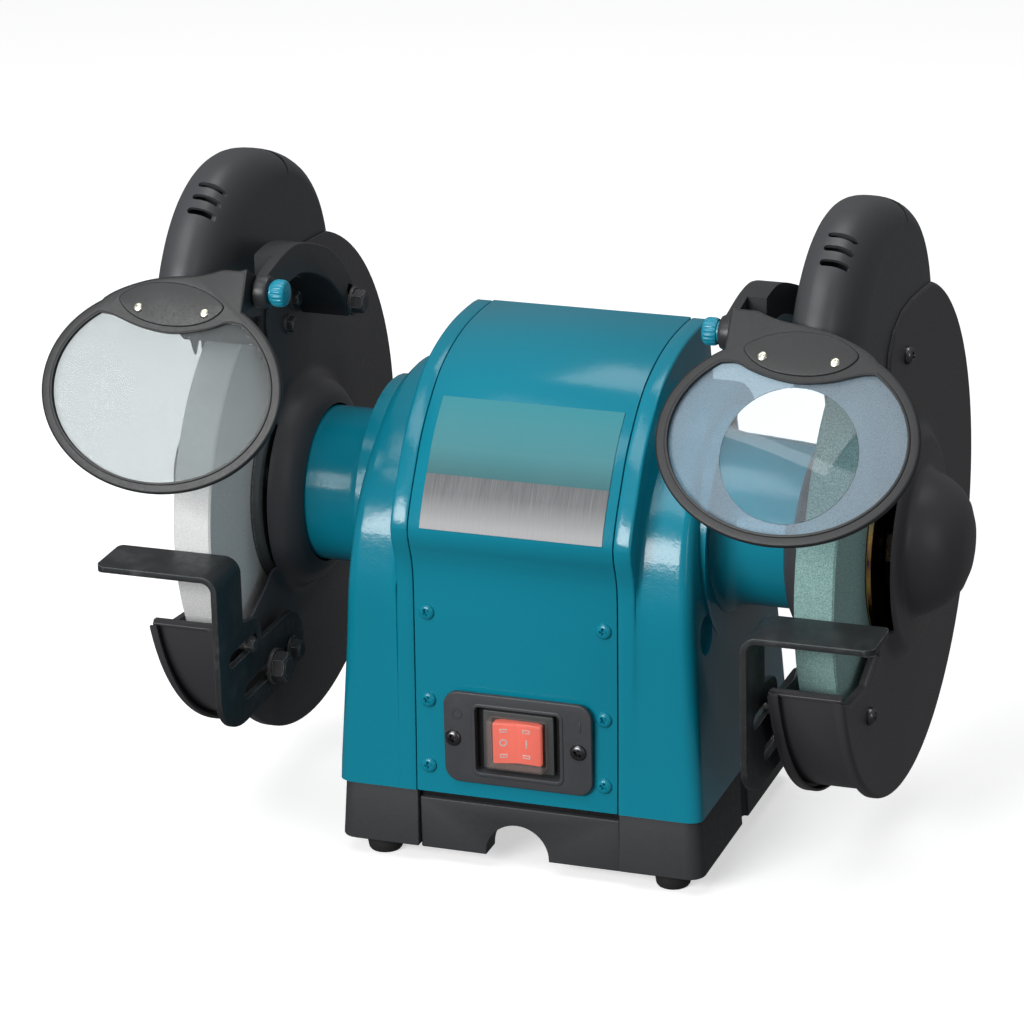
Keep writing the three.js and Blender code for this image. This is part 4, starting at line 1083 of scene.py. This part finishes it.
# inner guard: plate with a rolled rim, the dish round the bearing tube and the rim strip
plate = prism(plate_outline, 136.2, 137.5, "X", 0.3, 2)
lip = turned([(120.6, 136.2), (122.0, 136.35), (122.9, 136.9), (123.3, 137.8), (123.3, 140.6), (122.9, 141.1), (122.1, 141.1), (121.8, 140.7), (121.8, 138.4), (121.4, 137.8), (120.6, 137.5)], 120, "X", (0, SPINDLE_Z), 197, 422)
strip_ring = turned([(118.3, 136.4), (119.8, 136.4), (119.8, 170.5), (118.3, 170.5)], 120, "X", (0, SPINDLE_Z), 197, 422)
fold = prism(fillet([(-115.6, 127.0), (-111.0, 128.4), (-110.6, 126.8), (-114.8, 125.2)], 0.5, 3), 137.0, 170.5, "X")
dish = turned([
    (39.4, 121.6), (41.6, 122.0), (44, 122.9), (46.2, 124.2), (48, 125.8), (49.8, 127.6), (51.2, 129.6), (52.4, 131.8), (53.6, 133.8), (55.2, 135.4), (57.2, 136.1), (60, 136.2), (60, 137.5),
    (56.6, 137.5), (54.0, 136.4), (52.6, 134.6), (20, 134.6), (20, 133.1), (51.3, 133.1), (49.7, 130.5), (46.8, 127.2), (43.3, 124.5), (39.4, 123.2),
], 96)
hole_tools = [disc(4, 130, 140, *CLAMP), disc(3.5, 130, 140, *LOCK), disc(3, 130, 140, *GUIDE), disc(3.3, 130, 140, *FOOT_BOLT)]
gplate = cut(plate, disc(58, 130, 140, 0, SPINDLE_Z, 96), *hole_tools)
ang = math.atan2(LOW_SCREW[1] - SPINDLE_Z, LOW_SCREW[0])
uu = (math.cos(ang), math.sin(ang))


def at(r, t):
    return (r * uu[0] - t * uu[1], SPINDLE_Z + r * uu[1] + t * uu[0])


tab = prism(fillet([at(86, -7), at(119, -7), at(119, 7), at(86, 7)], [3, 0, 0, 3], 4), 168.7, 170.5, "X")
guard = cut(union(gplate, lip, strip_ring, fold, dish, tab), prism(OPEN_FRONT, 134.7, 137.62, "X"))
for name, s in (("left", -1), ("right", 1)):
    piece("guard_inner_" + name, guard, GUARD, "frame", side=s, replaces="inner_guard_" + name, angle=35)

# outer cover: a pan with a rounded rim all round, a plateau and a dome
pan = prism(plate_outline, 167.6, 172.3, "X", 3.4, 7, "b")
hollow = prism(offset(plate_outline, 1.5), 160, 170.9, "X", 2.2, 4, "b")
pan = cut(pan, hollow)
flat = prism(offset(plate_outline, 0.9), 170.8, 172.3, "X", 1.2, 4, "b")
clip = prism([(-140, 211), (52, 211), (57.9, 271.9), (70, 300), (-140, 300)], 160, 170.75, "X")
pan = cut(pan, clip)
pan = union(pan, flat)
dome_prof = [
    (66, 172.3), (59, 172.35), (56.8, 172.7), (55.2, 173.6), (51.6, 176.8), (50.2, 177.7), (48.4, 178.0), (38.4, 178.0), (36.6, 178.5), (35.4, 179.8), (34.4, 182.0), (33.0, 185.6),
    (30.6, 190.0), (27, 194.6), (22, 198.2), (15, 201), (7.5, 202.1), (0, 202.4), (0, 200.9), (7.3, 200.7), (14.3, 199.6), (25.8, 193.6), (31.7, 184), (34, 178.4), (36.6, 176.6), (48.2, 176.5), (50, 176.1), (54.8, 171.6), (57, 170.9), (66, 170.8),
]
dome = turned(dome_prof, 120)
cover_me = union(cut(pan, disc(61, 165, 175, 0, SPINDLE_Z, 96)), dome)
cover_me = cut(cover_me, disc(2.3, 165, 180, *COVER_SCREW), disc(2.3, 165, 180, *LOW_SCREW), prism(OPEN_FRONT, 165, 176.4, "X"))
for name, s in (("left", -1), ("right", 1)):
    piece("cover_outer_" + name, cover_me, GUARD, "frame", side=s, replaces="outer_cover_" + name, angle=35)
    for i, c in enumerate((COVER_SCREW, LOW_SCREW)):
        head = aimed(pan_phillips(4.4, 3.4), (s * 172.35, c[0], c[1]), (s, 0, 0), 0.4 + i)
        shank = disc(2, 166, 173, *c)
        if s < 0:
            shank = moved(shank, MIRROR)
        piece(f"guard_screw_{name}_{i + 1}", union(head, shank), SCREW_DARK, "frame", replaces=("cover_screw_" + name,) if i == 0 else ())

# dust hood
HOOD_LINE = [
    (46, 226), (49.2, 236.9), (53, 256.8), (51.4, 277.8), (43.4, 297.9), (29.3, 314.7), (10.9, 327), (-10, 335),
    (-32.8, 339.1), (-56.8, 337.4), (-79.5, 327.8), (-97.5, 310.8), (-109, 289.2), (-113.7, 265.6), (-112.4, 242.4), (-106.4, 220.4),
]
HOOD = smooth(HOOD_LINE, 6)
HOOD_ROUND = [10, 10, 10, 10, 10, 10, 11, 13.5, 19, 25, 30, 33, 34, 34, 34, 34]
depths = []
for i in range(len(HOOD_ROUND) - 1):
    depths += [HOOD_ROUND[i] + (HOOD_ROUND[i + 1] - HOOD_ROUND[i]) * k / 6 for k in range(6)]
depths.append(34)
hood_outline = HOOD + [(-60, 160), (10, 160)]
depths += [20, 10]
HC = (-30.3, 256.0)


def hump(x0, x1, inset):
    """The hood as a loft across: every point of its outline sinks towards the middle near the two sides."""
    half, mid = (x1 - x0) / 2, (x0 + x1) / 2
    side = [1.0, 0.998, 0.992, 0.98, 0.96, 0.93, 0.89, 0.84, 0.78, 0.7, 0.6, 0.48, 0.34, 0.18, 0.0]
    steps = [-t for t in side] + side[::-1][1:]
    bm = bmesh.new()
    rings = []
    for t in steps:
        f = 1 - math.sqrt(max(0.0, 1 - abs(t) ** 2.6))
        ring = []
        for (y, z), d in zip(hood_outline, depths):
            l = math.hypot(y - HC[0], z - HC[1])
            k = 1 - (inset + d * f) / l
            ring.append(bm.verts.new((mid + half * t, HC[0] + (y - HC[0]) * k, HC[1] + (z - HC[1]) * k)))
        rings.append(ring)
    n = len(hood_outline)
    for A, B in zip(rings[:-1], rings[1:]):
        for k in range(n):
            k2 = (k + 1) % n
            bm.faces.new((A[k], A[k2], B[k2], B[k]))
    bm.faces.new(rings[0])
    bm.faces.new(rings[-1][::-1])
    return to_mesh(bm)


outer = hump(137.8, 170.5, 0)
inner = hump(139.6, 168.7, 1.8)
mouth = prism([(-130, 281), (-112, 277.5), (-44, 262), (-32, 140), (-130, 140)], 130, 180, "X")
hood_tools = [
    inner, mouth, disc(86, 130, 180, 0, SPINDLE_Z, 64), disc(106, 139.6, 168.7, 0, SPINDLE_Z, 96),
    prism([(0, 150), (90, 150), (90, 225), (40, 240), (0, 240)], 130, 180, "X"), disc(3.3, 130, 140, *FOOT_BOLT), disc(2.3, 165, 180, *COVER_SCREW),
]
hood0 = cut(outer, *hood_tools)


def outline_at(y0):
    """A point of the hood's outline on its front and top, with the outward direction."""
    best = None
    for a, b in zip(HOOD[:-1], HOOD[1:]):
        if b[0] <= y0 <= a[0] and a[1] > 250:
            t = (y0 - a[0]) / (b[0] - a[0])
            z = a[1] + (b[1] - a[1]) * t
            d = Vector((b[0] - a[0], b[1] - a[1])).normalized()
            best = (z, (d.y, -d.x)) if False else (z, (d[1], -d[0]))
    return best


def vent(x, y0, half, height, grow=0.0, low=-5, high=6):
    z, nrm = outline_at(y0)
    up = Vector((0, nrm[0], nrm[1]))
    if up.z < 0:
        up = -up
    tan = Vector((0, -up.z, up.y))
    me = prism(slot(-half - grow, half + grow, -height / 2 - grow, height / 2 + grow), low, high, "Y", 0.35 if grow else 0.0, 3, "a" if grow else "both")
    m = Matrix.Identity(4)
    for r in range(3):
        m[r][0] = (1, 0, 0)[r]
        m[r][1] = -up[r]
        m[r][2] = tan[r]
        m[r][3] = (x, y0, z)[r]
    me.transform(m)
    if m.determinant() < 0:
        me.flip_normals()
    return me


def skin(u, y0, side_x):
    """A point of the hood's skin: u is its place across, from -1 to 1, y0 the outline point it belongs to."""
    for (a, b), (d0, d1) in zip(zip(HOOD[:-1], HOOD[1:]), zip(depths[:-1], depths[1:])):
        if b[0] <= y0 <= a[0] and a[1] > 250:
            t = (y0 - a[0]) / (b[0] - a[0])
            z, d = a[1] + (b[1] - a[1]) * t, d0 + (d1 - d0) * t
            f = 1 - math.sqrt(max(0.0, 1 - abs(u) ** 2.6))
            k = 1 - d * f / math.hypot(y0 - HC[0], z - HC[1])
            return Vector((154.15 + 16.35 * u * side_x, HC[0] + (y0 - HC[0]) * k, HC[1] + (z - HC[1]) * k))


def tear(side_x):
    """The crescent slot on a rounded edge of the hood."""
    p = skin(0.72, -3.0, side_x)
    across = (skin(0.80, -3.0, side_x) - skin(0.64, -3.0, side_x)).normalized()
    along = (skin(0.72, 2.0, side_x) - skin(0.72, -8.0, side_x)).normalized()
    n = across.cross(along).normalized()
    if n.z < 0:
        n = -n
    # its middle line runs from the top of the hood outwards and down
    run = (across * 0.86 + along * 0.50).normalized()
    wide = n.cross(run)
    if wide.y < 0:
        wide = -wide
    pts = smooth([(-9.5, 0.2), (-6.5, 1.7), (-2, 2.6), (2.5, 2.7), (6.5, 1.4), (9.8, -1.2), (5.5, -0.9), (1.0, -0.7), (-3.5, -0.6), (-7, -0.5)], 4, True)
    me = prism(pts, -4, 5, "Y")
    m = Matrix.Identity(4)
    for r in range(3):
        m[r][0], m[r][1], m[r][2], m[r][3] = run[r], n[r], wide[r], p[r]
    me.transform(m)
    if m.determinant() < 0:
        me.flip_normals()
    return me


web = meet(box(138.5, 169.8, -63.4, -61.8, 272, 337), hump(139.1, 169.2, 1.3))
for name, s in (("left", -1), ("right", 1)):
    centre = 157.6 if s > 0 else 149.3
    rows = ((-69.0, 3.4), (-76.6, 3.5), (-83.6, 3.7))
    tools = [vent(centre, y0, 6.6, h) for y0, h in rows] + [tear(1), tear(-1)]
    hood_me = cut(hood0.copy(), *tools)
    piece("hood_shell_" + name, hood_me, HOOD_BLACK_LIT, "frame", side=s, replaces="hood_" + name, angle=34)
    piece("hood_web_" + name, web, HOOD_BLACK_LIT, "frame", side=s)

# spark arrester
blade = fillet(
    [(132.6, 252.6), (163.4, 252.6), (165.6, 243.6), (167.8, 252.6), (171, 252.6), (174, 256), (174, 259.6), (167, 259.6), (167, 290), (141.3, 290), (141.3, 259.6), (132.6, 259.6)],
    [1, 0.5, 0.5, 0.5, 1, 1, 1, 1, 2, 2, 1, 1], 3,
)
arr = cut(prism(blade, -61.5, -60, "Y", 0.25, 2), prism(slot(150.5, 158.0, 268, 272.5), -70, -50, "Y"))
for name, s in (("left", -1), ("right", 1)):
    piece("arrester_blade_" + name, arr, GUARD, "arrester_" + name, side=s, replaces="spark_arrester_" + name, angle=35)

# ------------------------------------------------------------------ shield brackets
PIVOT = (-97, 292.4)
arch = smooth([(-99, 300.1), (-89.7, 302), (-76, 304.3), (-61.4, 304.8), (-49.7, 302.5), (-36.5, 298), (-22, 292), (-7.3, 282.4), (2.7, 273), (11.3, 263), (16.5, 256)], 4)
arch += [(15, 251.5), (11.7, 249.3), (2.1, 249.5)]
arch += smooth([(0.4, 254), (-7.6, 263.3), (-19, 273.4), (-30.7, 280), (-44, 285.7), (-57, 289), (-73.5, 288.7), (-86, 286.5), (-95, 284.7)], 4)
body = prism(arch, 111, 135.8, "X", 0.8, 3)
lobe = turned([(0, 109.2), (6.4, 109.2), (7.4, 109.7), (8.0, 110.9), (8.0, 115.2), (7.4, 116.0), (0, 116.0)], 48, "X", PIVOT)
brk = cut(
    body,
    prism([(-120, 270), (-80, 270), (-78, 315), (-120, 315)], 116, 140, "X"),
    prism([(-90, 270), (-22, 270), (-22, 315), (-90, 315)], 125, 140, "X"),
    prism([(4.8, 254.4), (0.9, 262.9), (3.6, 265.9), (7.3, 264.3), (10.9, 256.6)], 105, 113.5, "X"),
    disc(3.2, 105, 140, *FOOT_BOLT),
)
brk = cut(union(brk, lobe), disc(3.4, 105, 130, *PIVOT))
for name, s in (("left", -1), ("right", 1)):
    piece("bracket_" + name, brk, BRACKET_BLACK_SHADED, "frame", side=s, replaces="shield_bracket_" + name, angle=34)
    bolt = aimed(hex_head(10, 5.2, 7.2, 1.4), (s * 110.9, *FOOT_BOLT), (-s, 0, 0), 0.3)
    rod = disc(2.8, 110, 143, *FOOT_BOLT)
    nut = aimed(hex_head(8, 2.6), (139.8, *FOOT_BOLT), (1, 0, 0))
    if s < 0:
        rod, nut = moved(rod, MIRROR), moved(nut, MIRROR)
    piece("bracket_hex_" + name, union(bolt, rod, nut), BOLT, "frame", replaces="bracket_bolt_" + name)
    for i, (y, z) in enumerate(((-8, 260), (-15.5, 249))):
        me = aimed(hex_head(7.0, 3.0, 5.0, 1.0), (s * 136.15, y, z), (-s, 0, 0), 0.5 + i)
        piece(f"guard_hex_{name}_{i + 1}", me, BOLT, "frame")

    # fluted knob with its stud
    flutes = []
    for i in range(180):
        q = i * 2 * deg
        flutes.append((PIVOT[0] + (6.15 + 0.36 * math.cos(18 * q)) * math.cos(q), PIVOT[1] + (6.15 + 0.36 * math.cos(18 * q)) * math.sin(q)))
    grip = prism(flutes, 101.2, 107.8, "X")
    barrel = turned([(0, 101), (4.4, 101.05), (5.5, 101.6), (6.2, 102.5), (6.55, 104), (6.55, 105.4), (6.3, 106.8), (5.9, 107.7), (5.4, 108.4), (0, 108.4)], 60, "X", PIVOT)
    knob = union(meet(grip, barrel), turned([(0, 100.9), (3.3, 100.9), (3.8, 101.3), (3.8, 102), (0, 102)], 36, "X", PIVOT), disc(5.0, 107, 109.0, *PIVOT), disc(3.0, 108, 123.6, *PIVOT), disc(5.2, 120.3, 123.6, *PIVOT))
    piece("knob_" + name, knob, KNOB, "knob_" + name, side=s, replaces="shield_knob_" + name, angle=50)

# ------------------------------------------------------------------ eye shields
SX, SV, SA, SB = 151.8, 51.6, 60.3, 48.8


def ring_pts(a, b, frm, to, n):
    return [(SX + a * math.cos((frm + (to - frm) * i / n) * deg), SV - b * math.sin((frm + (to - frm) * i / n) * deg)) for i in range(n + 1)]


top_edge = smooth([(186.2, 10.8), (182.5, 8.2), (175, 4.4), (163.6, 0.4), (152.5, -1.7), (140.8, -3.2), (134, -5.0), (129.6, -6.6), (127, -7)], 4)
outer_line = top_edge + [(116.5, -7)] + ring_pts(SA, SB, 126, 414, 110)


def mouth_line(g):
    lower = ring_pts(SA - 5.7 + g, SB - 5.3 + g, 131, 410, 100)
    upper = smooth([(SX + (SA - 5.7 + g) * math.cos(50 * deg), SV - (SB - 5.3 + g) * math.sin(50 * deg)), (181.5, 18.8 - g), (176.3, 20.4 - g), (169, 22.8 - g), (160, 24.6 - g), (149.7, 25.2 - g), (137.1, 23.1 - g), (129, 20.6 - g), (123.2, 18.2 - g), (SX + (SA - 5.7 + g) * math.cos(131 * deg), SV - (SB - 5.3 + g) * math.sin(131 * deg))], 4)
    return fillet(lower + upper[1:-1], 1.0, 2, 150)


def flat_solid(pts, n0, n1, bevel=0.0, segs=3, ends="both"):
    # u -> x, v -> -z, n -> -y
    return prism([(u, -v) for u, v in pts], -n1, -n0, "Y", bevel, segs, ends)


frame_front = cut(flat_solid(outer_line, 12.2, 15.5, 1.25, 4), flat_solid(mouth_line(0), 13.2, 17), flat_solid(mouth_line(1.6), 11, 13.3))
# raised inner lip round the opening and the raised pad
bead = cut(flat_solid(mouth_line(-1.5 + 1.5), 15.2, 15.9), flat_solid(mouth_line(-1.2), 14, 17))
inner_lip = cut(flat_solid([(SX + (u - SX) * 1.025, SV + (v - SV) * 1.03) for u, v in mouth_line(0)], 15.0, 16.1, 0.5, 3, "a"), flat_solid(mouth_line(0.02), 13, 18))
pad_line = smooth([(125.3, 11), (130.5, 6.6), (137.3, 3.7), (146, 1.7), (154.5, 1.3), (162, 1.9), (168.4, 3.6), (174.5, 6.6), (178.3, 10.7), (174.5, 15.8), (167.2, 19.6), (158.5, 21.6), (149.8, 22.0), (139, 20.6), (129.9, 16.6)], 4, True)
pad = flat_solid(pad_line, 14.8, 16.3, 0.7, 4, "a")
# the ear round the stud, across X
ear = [(-15.3, -12), (-15.3, 7), (-12.4, 7)] + [(7.4 * math.sin(i * 11.25 * deg), 7.4 * math.cos(i * 11.25 * deg)) for i in range(17)] + [(-12.4, -12)]
ear_me = cut(prism(ear, 116.5, 119.9, "X", 0.5, 2), disc(3.4, 110, 125, 0, 0, 32))
side_wall = prism(fillet([(-15.2, -11), (-15.2, 8), (-8.6, 7.4), (-8.2, -11)], [1, 1, 1.5, 1.5], 3), 116.5, 118.3, "X", 0.3, 2)
shield = union(frame_front, ear_me, side_wall, inner_lip, pad)

lens_me = flat_solid(mouth_line(1.25), 11.9, 13.1, 0.2, 1)


def magnifier():
    R, c = 31.4, (SX + 1.7, -58.0)
    front, rear_ = [], []
    n = 22
    for i in range(n + 1):
        r = R * i / n
        front.append((r, -15.6 + 2.45 * (r / R) ** 2))
        rear_.append((r, -11.4 - 0.45 * (r / R) ** 2))
    return turned(front + rear_[::-1], 96, "Y", c)


mag = magnifier()
hole = turned([(0, -20), (31.5, -20), (31.5, -5), (0, -5)], 96, "Y", (SX + 1.7, -58.0))
lens_right = cut(lens_me.copy(), hole)
TILT = {"left": 26.4, "right": 36.1}
for name, s in (("left", -1), ("right", 1)):
    m = Matrix.Translation((0, *PIVOT)) @ Matrix.Rotation(-TILT[name] * deg, 4, "X")
    b = "shield_" + name
    piece("eye_frame_" + name, shield, FRAME, b, side=s, replaces="shield_frame_" + name, angle=40, before=m)
    if s < 0:
        piece("eye_lens_left", lens_me, LENS_L, b, side=s, replaces="shield_lens_left", before=m)
    else:
        piece("eye_lens_right", lens_right, LENS_R, b, side=s, replaces="shield_lens_right", before=m)
        piece("eye_magnifier", mag, MAGNIFIER, b, side=s, before=m, angle=50)
    for i, u in enumerate((134.6, 168.0)):
        head = aimed(pan_phillips(2.35, 0.9, 24), (u, -16.2, -14.6), (0, -1, 0), 0.4 + i * 0.9)
        piece(f"pad_screw_{name}_{i + 1}", head, ZINC, b, side=s, before=m)

# ------------------------------------------------------------------ tool rests
REST_X, REST_T, REST_Z, REST_END, RF, RR = 128.1, 3.2, 161.2, 190.5, -134.4, -104.3
leg = [(RF, 150), (RF, 97)] + smooth([(-132.6, 90.5), (-128.6, 85.4), (-122.5, 80.8), (-115, 78), (-108, 76.8), (-98, 76.9)], 4)
leg += [(-57, 77.1)] + smooth([(-47, 77.6), (-38, 80.5), (-32, 86), (-30.2, 93), (-32, 100.5), (-37.5, 107), (-45, 110.4), (-53, 110.9)], 4)
leg += smooth([(-81, 110.9), (-82.8, 112), (-83, 116), (-84.5, 120.5), (-88.5, 124.2), (-94, 125.6), (-100, 126.6), (RR, 127.5)], 3)
leg += [(RR, 150)]
side_plate = prism(leg, REST_X, REST_X + REST_T, "X", 0.55, 3)
bend = [(REST_X + 8 - 8 * math.cos(i * 9 * deg), REST_Z - 8 + 8 * math.sin(i * 9 * deg)) for i in range(11)]
under = [(REST_X + 8 - (8 - REST_T) * math.cos(i * 9 * deg), REST_Z - 8 + (8 - REST_T) * math.sin(i * 9 * deg)) for i in range(10, -1, -1)]
bar_prof = [(REST_X, 148)] + bend + [(REST_END, REST_Z), (REST_END, REST_Z - REST_T)] + under + [(REST_X + REST_T, 148)]
bar = prism(bar_prof, RF, RR, "Y", 0.55, 3)
corner = prism(fillet([(100, RF - 20), (220, RF - 20), (220, RR + 20), (100, RR + 20)], 0, 2), 100, 200, "Z")
plan_keep = prism(fillet([(100, RF - 0.01), (REST_END + 0.01, RF - 0.01), (REST_END + 0.01, RR + 0.01), (100, RR + 0.01)], [0, 5, 4, 0], 7), 100, 200, "Z")
bar = meet(bar, plan_keep)
rest = cut(union(side_plate, bar), prism(slot(-123, -88, 110, 117.3), 120, 140, "X"), prism(slot(-106, -38, 87.5, 95.5), 120, 140, "X"))
for name, s in (("left", -1), ("right", 1)):
    piece("rest_bar_" + name, rest, REST, "rest_" + name, side=s, replaces="tool_rest_" + name, angle=36)
    bolt = aimed(hex_head(13, 6.2, 9.0, 1.5), (s * 127.85, *CLAMP), (-s, 0, 0), 0.25)
    rod = disc(3.6, 127, 142.4, *CLAMP)
    nut = aimed(hex_head(11, 4.4), (137.8, *CLAMP), (1, 0, 0))
    if s < 0:
        rod, nut = moved(rod, MIRROR), moved(nut, MIRROR)
    piece("clamp_hex_" + name, union(bolt, rod, nut), BOLT, "frame", replaces="rest_clamp_bolt_" + name)
    bolt = aimed(hex_head(9, 4.2, 6.6, 1.1), (s * 127.8, *LOCK), (-s, 0, 0), 0.5)
    rod = disc(3.1, 127, 141.4, *LOCK)
    nut = aimed(hex_head(9, 3.4), (137.8, *LOCK), (1, 0, 0))
    if s < 0:
        rod, nut = moved(rod, MIRROR), moved(nut, MIRROR)
    piece("lock_hex_" + name, union(bolt, rod, nut), BOLT, "frame", replaces="rest_lock_bolt_" + name)
    gb = aimed(hex_head(6.4, 3.9), (s * 129.2, *GUIDE), (-s, 0, 0), 0.1)
    gs = disc(2.6, 128.5, 141, *GUIDE)
    gw = disc(2.9, 128.9, 135.9, *GUIDE)
    gn = disc(4.5, 137.8, 141, *GUIDE)
    if s < 0:
        gs, gw, gn = moved(gs, MIRROR), moved(gw, MIRROR), moved(gn, MIRROR)
    piece("guide_hex_" + name, union(gb, gs, gw, gn), BOLT, "frame", replaces="rest_guide_bolt_" + name)

# ------------------------------------------------------------------ CAD nodes that stay
keep = {
    "base_plate": PLATE_IRON, "spindle_shaft": STEEL, "rotor": IRON, "stator": IRON, "bearing_left": STEEL, "bearing_right": STEEL, "capacitor": SWITCH,
}
for node, mat in keep.items():
    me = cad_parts[node].data
    if not me.materials:
        me.materials.append(mat)
    for i in range(len(me.materials)):
        me.materials[i] = mat

# ------------------------------------------------------------------ floor, light
def stage():
    fl = bpy.data.meshes.new("floor")
    fl.from_pydata([(-15, -15, 0), (15, -15, 0), (15, 15, 0), (-15, 15, 0)], [], [(0, 1, 2, 3)])
    n = Nodes("floor")
    n.set(Roughness=0.7, Specular_IOR_Level=0.0, Emission_Color=(1.0, 1.0, 1.0), Emission_Strength=0.56)
    n.color(n.mix(n.noise(3, 2), (0.78, 0.78, 0.78), (0.80, 0.80, 0.80)))
    fl.materials.append(n.m)
    o = bpy.data.objects.new("floor", fl)
    # the floor is seen and takes the shadow, but it isn't mirrored in the paint
    o.visible_glossy = False
    o.visible_diffuse = False
    bpy.context.scene.collection.objects.link(o)

    def area(name, place, target, sx, sy, power, color=(1, 1, 1)):
        l = bpy.data.lights.new(name, "AREA")
        l.shape = "RECTANGLE"
        l.size, l.size_y = sx, sy
        l.energy = power
        l.color = color
        ob = bpy.data.objects.new(name, l)
        ob.location = place
        ob.rotation_euler = (Vector(target) - Vector(place)).to_track_quat("-Z", "Y").to_euler()
        bpy.context.scene.collection.objects.link(ob)

    area("key", (-0.62, -1.95, 0.98), (0, 0, 0.18), 1.15, 0.72, 37)
    area("upper", (-0.5, -1.0, 2.1), (0, 0, 0.15), 1.5, 0.9, 12)
    area("top", (0.2, 0.5, 2.1), (0, 0, 0.15), 1.4, 0.8, 10)
    area("side", (1.9, -1.0, 0.85), (0, 0, 0.2), 0.35, 1.1, 3)
    w = bpy.data.worlds.new("studio")
    w.use_nodes = True
    t = w.node_tree
    bg = t.nodes["Background"]
    co = t.nodes.new("ShaderNodeTexCoord")
    sep = t.nodes.new("ShaderNodeSeparateXYZ")
    rp = t.nodes.new("ShaderNodeValToRGB")
    mr = t.nodes.new("ShaderNodeMapRange")
    mr.inputs["From Min"].default_value = -1.0
    e = rp.color_ramp.elements
    e[0].position, e[0].color = 0.0, (0.10, 0.10, 0.105, 1)
    e[1].position, e[1].color = 1.0, (0.34, 0.34, 0.35, 1)
    for pos, v in ((0.48, 0.14), (0.56, 0.20), (0.8, 0.26)):
        el = e.new(pos)
        el.color = (v, v, v * 1.02, 1)
    t.links.new(co.outputs["Generated"], sep.inputs[0])
    t.links.new(sep.outputs[2], mr.inputs["Value"])
    t.links.new(mr.outputs["Result"], rp.inputs["Fac"])
    t.links.new(rp.outputs["Color"], bg.inputs["Color"])
    bg.inputs["Strength"].default_value = 1.0
    bpy.context.scene.world = w
    sc = bpy.context.scene
    sc.view_settings.view_transform = "Standard"
    sc.view_settings.look = "None"
    sc.view_settings.exposure = 0.0


stage()
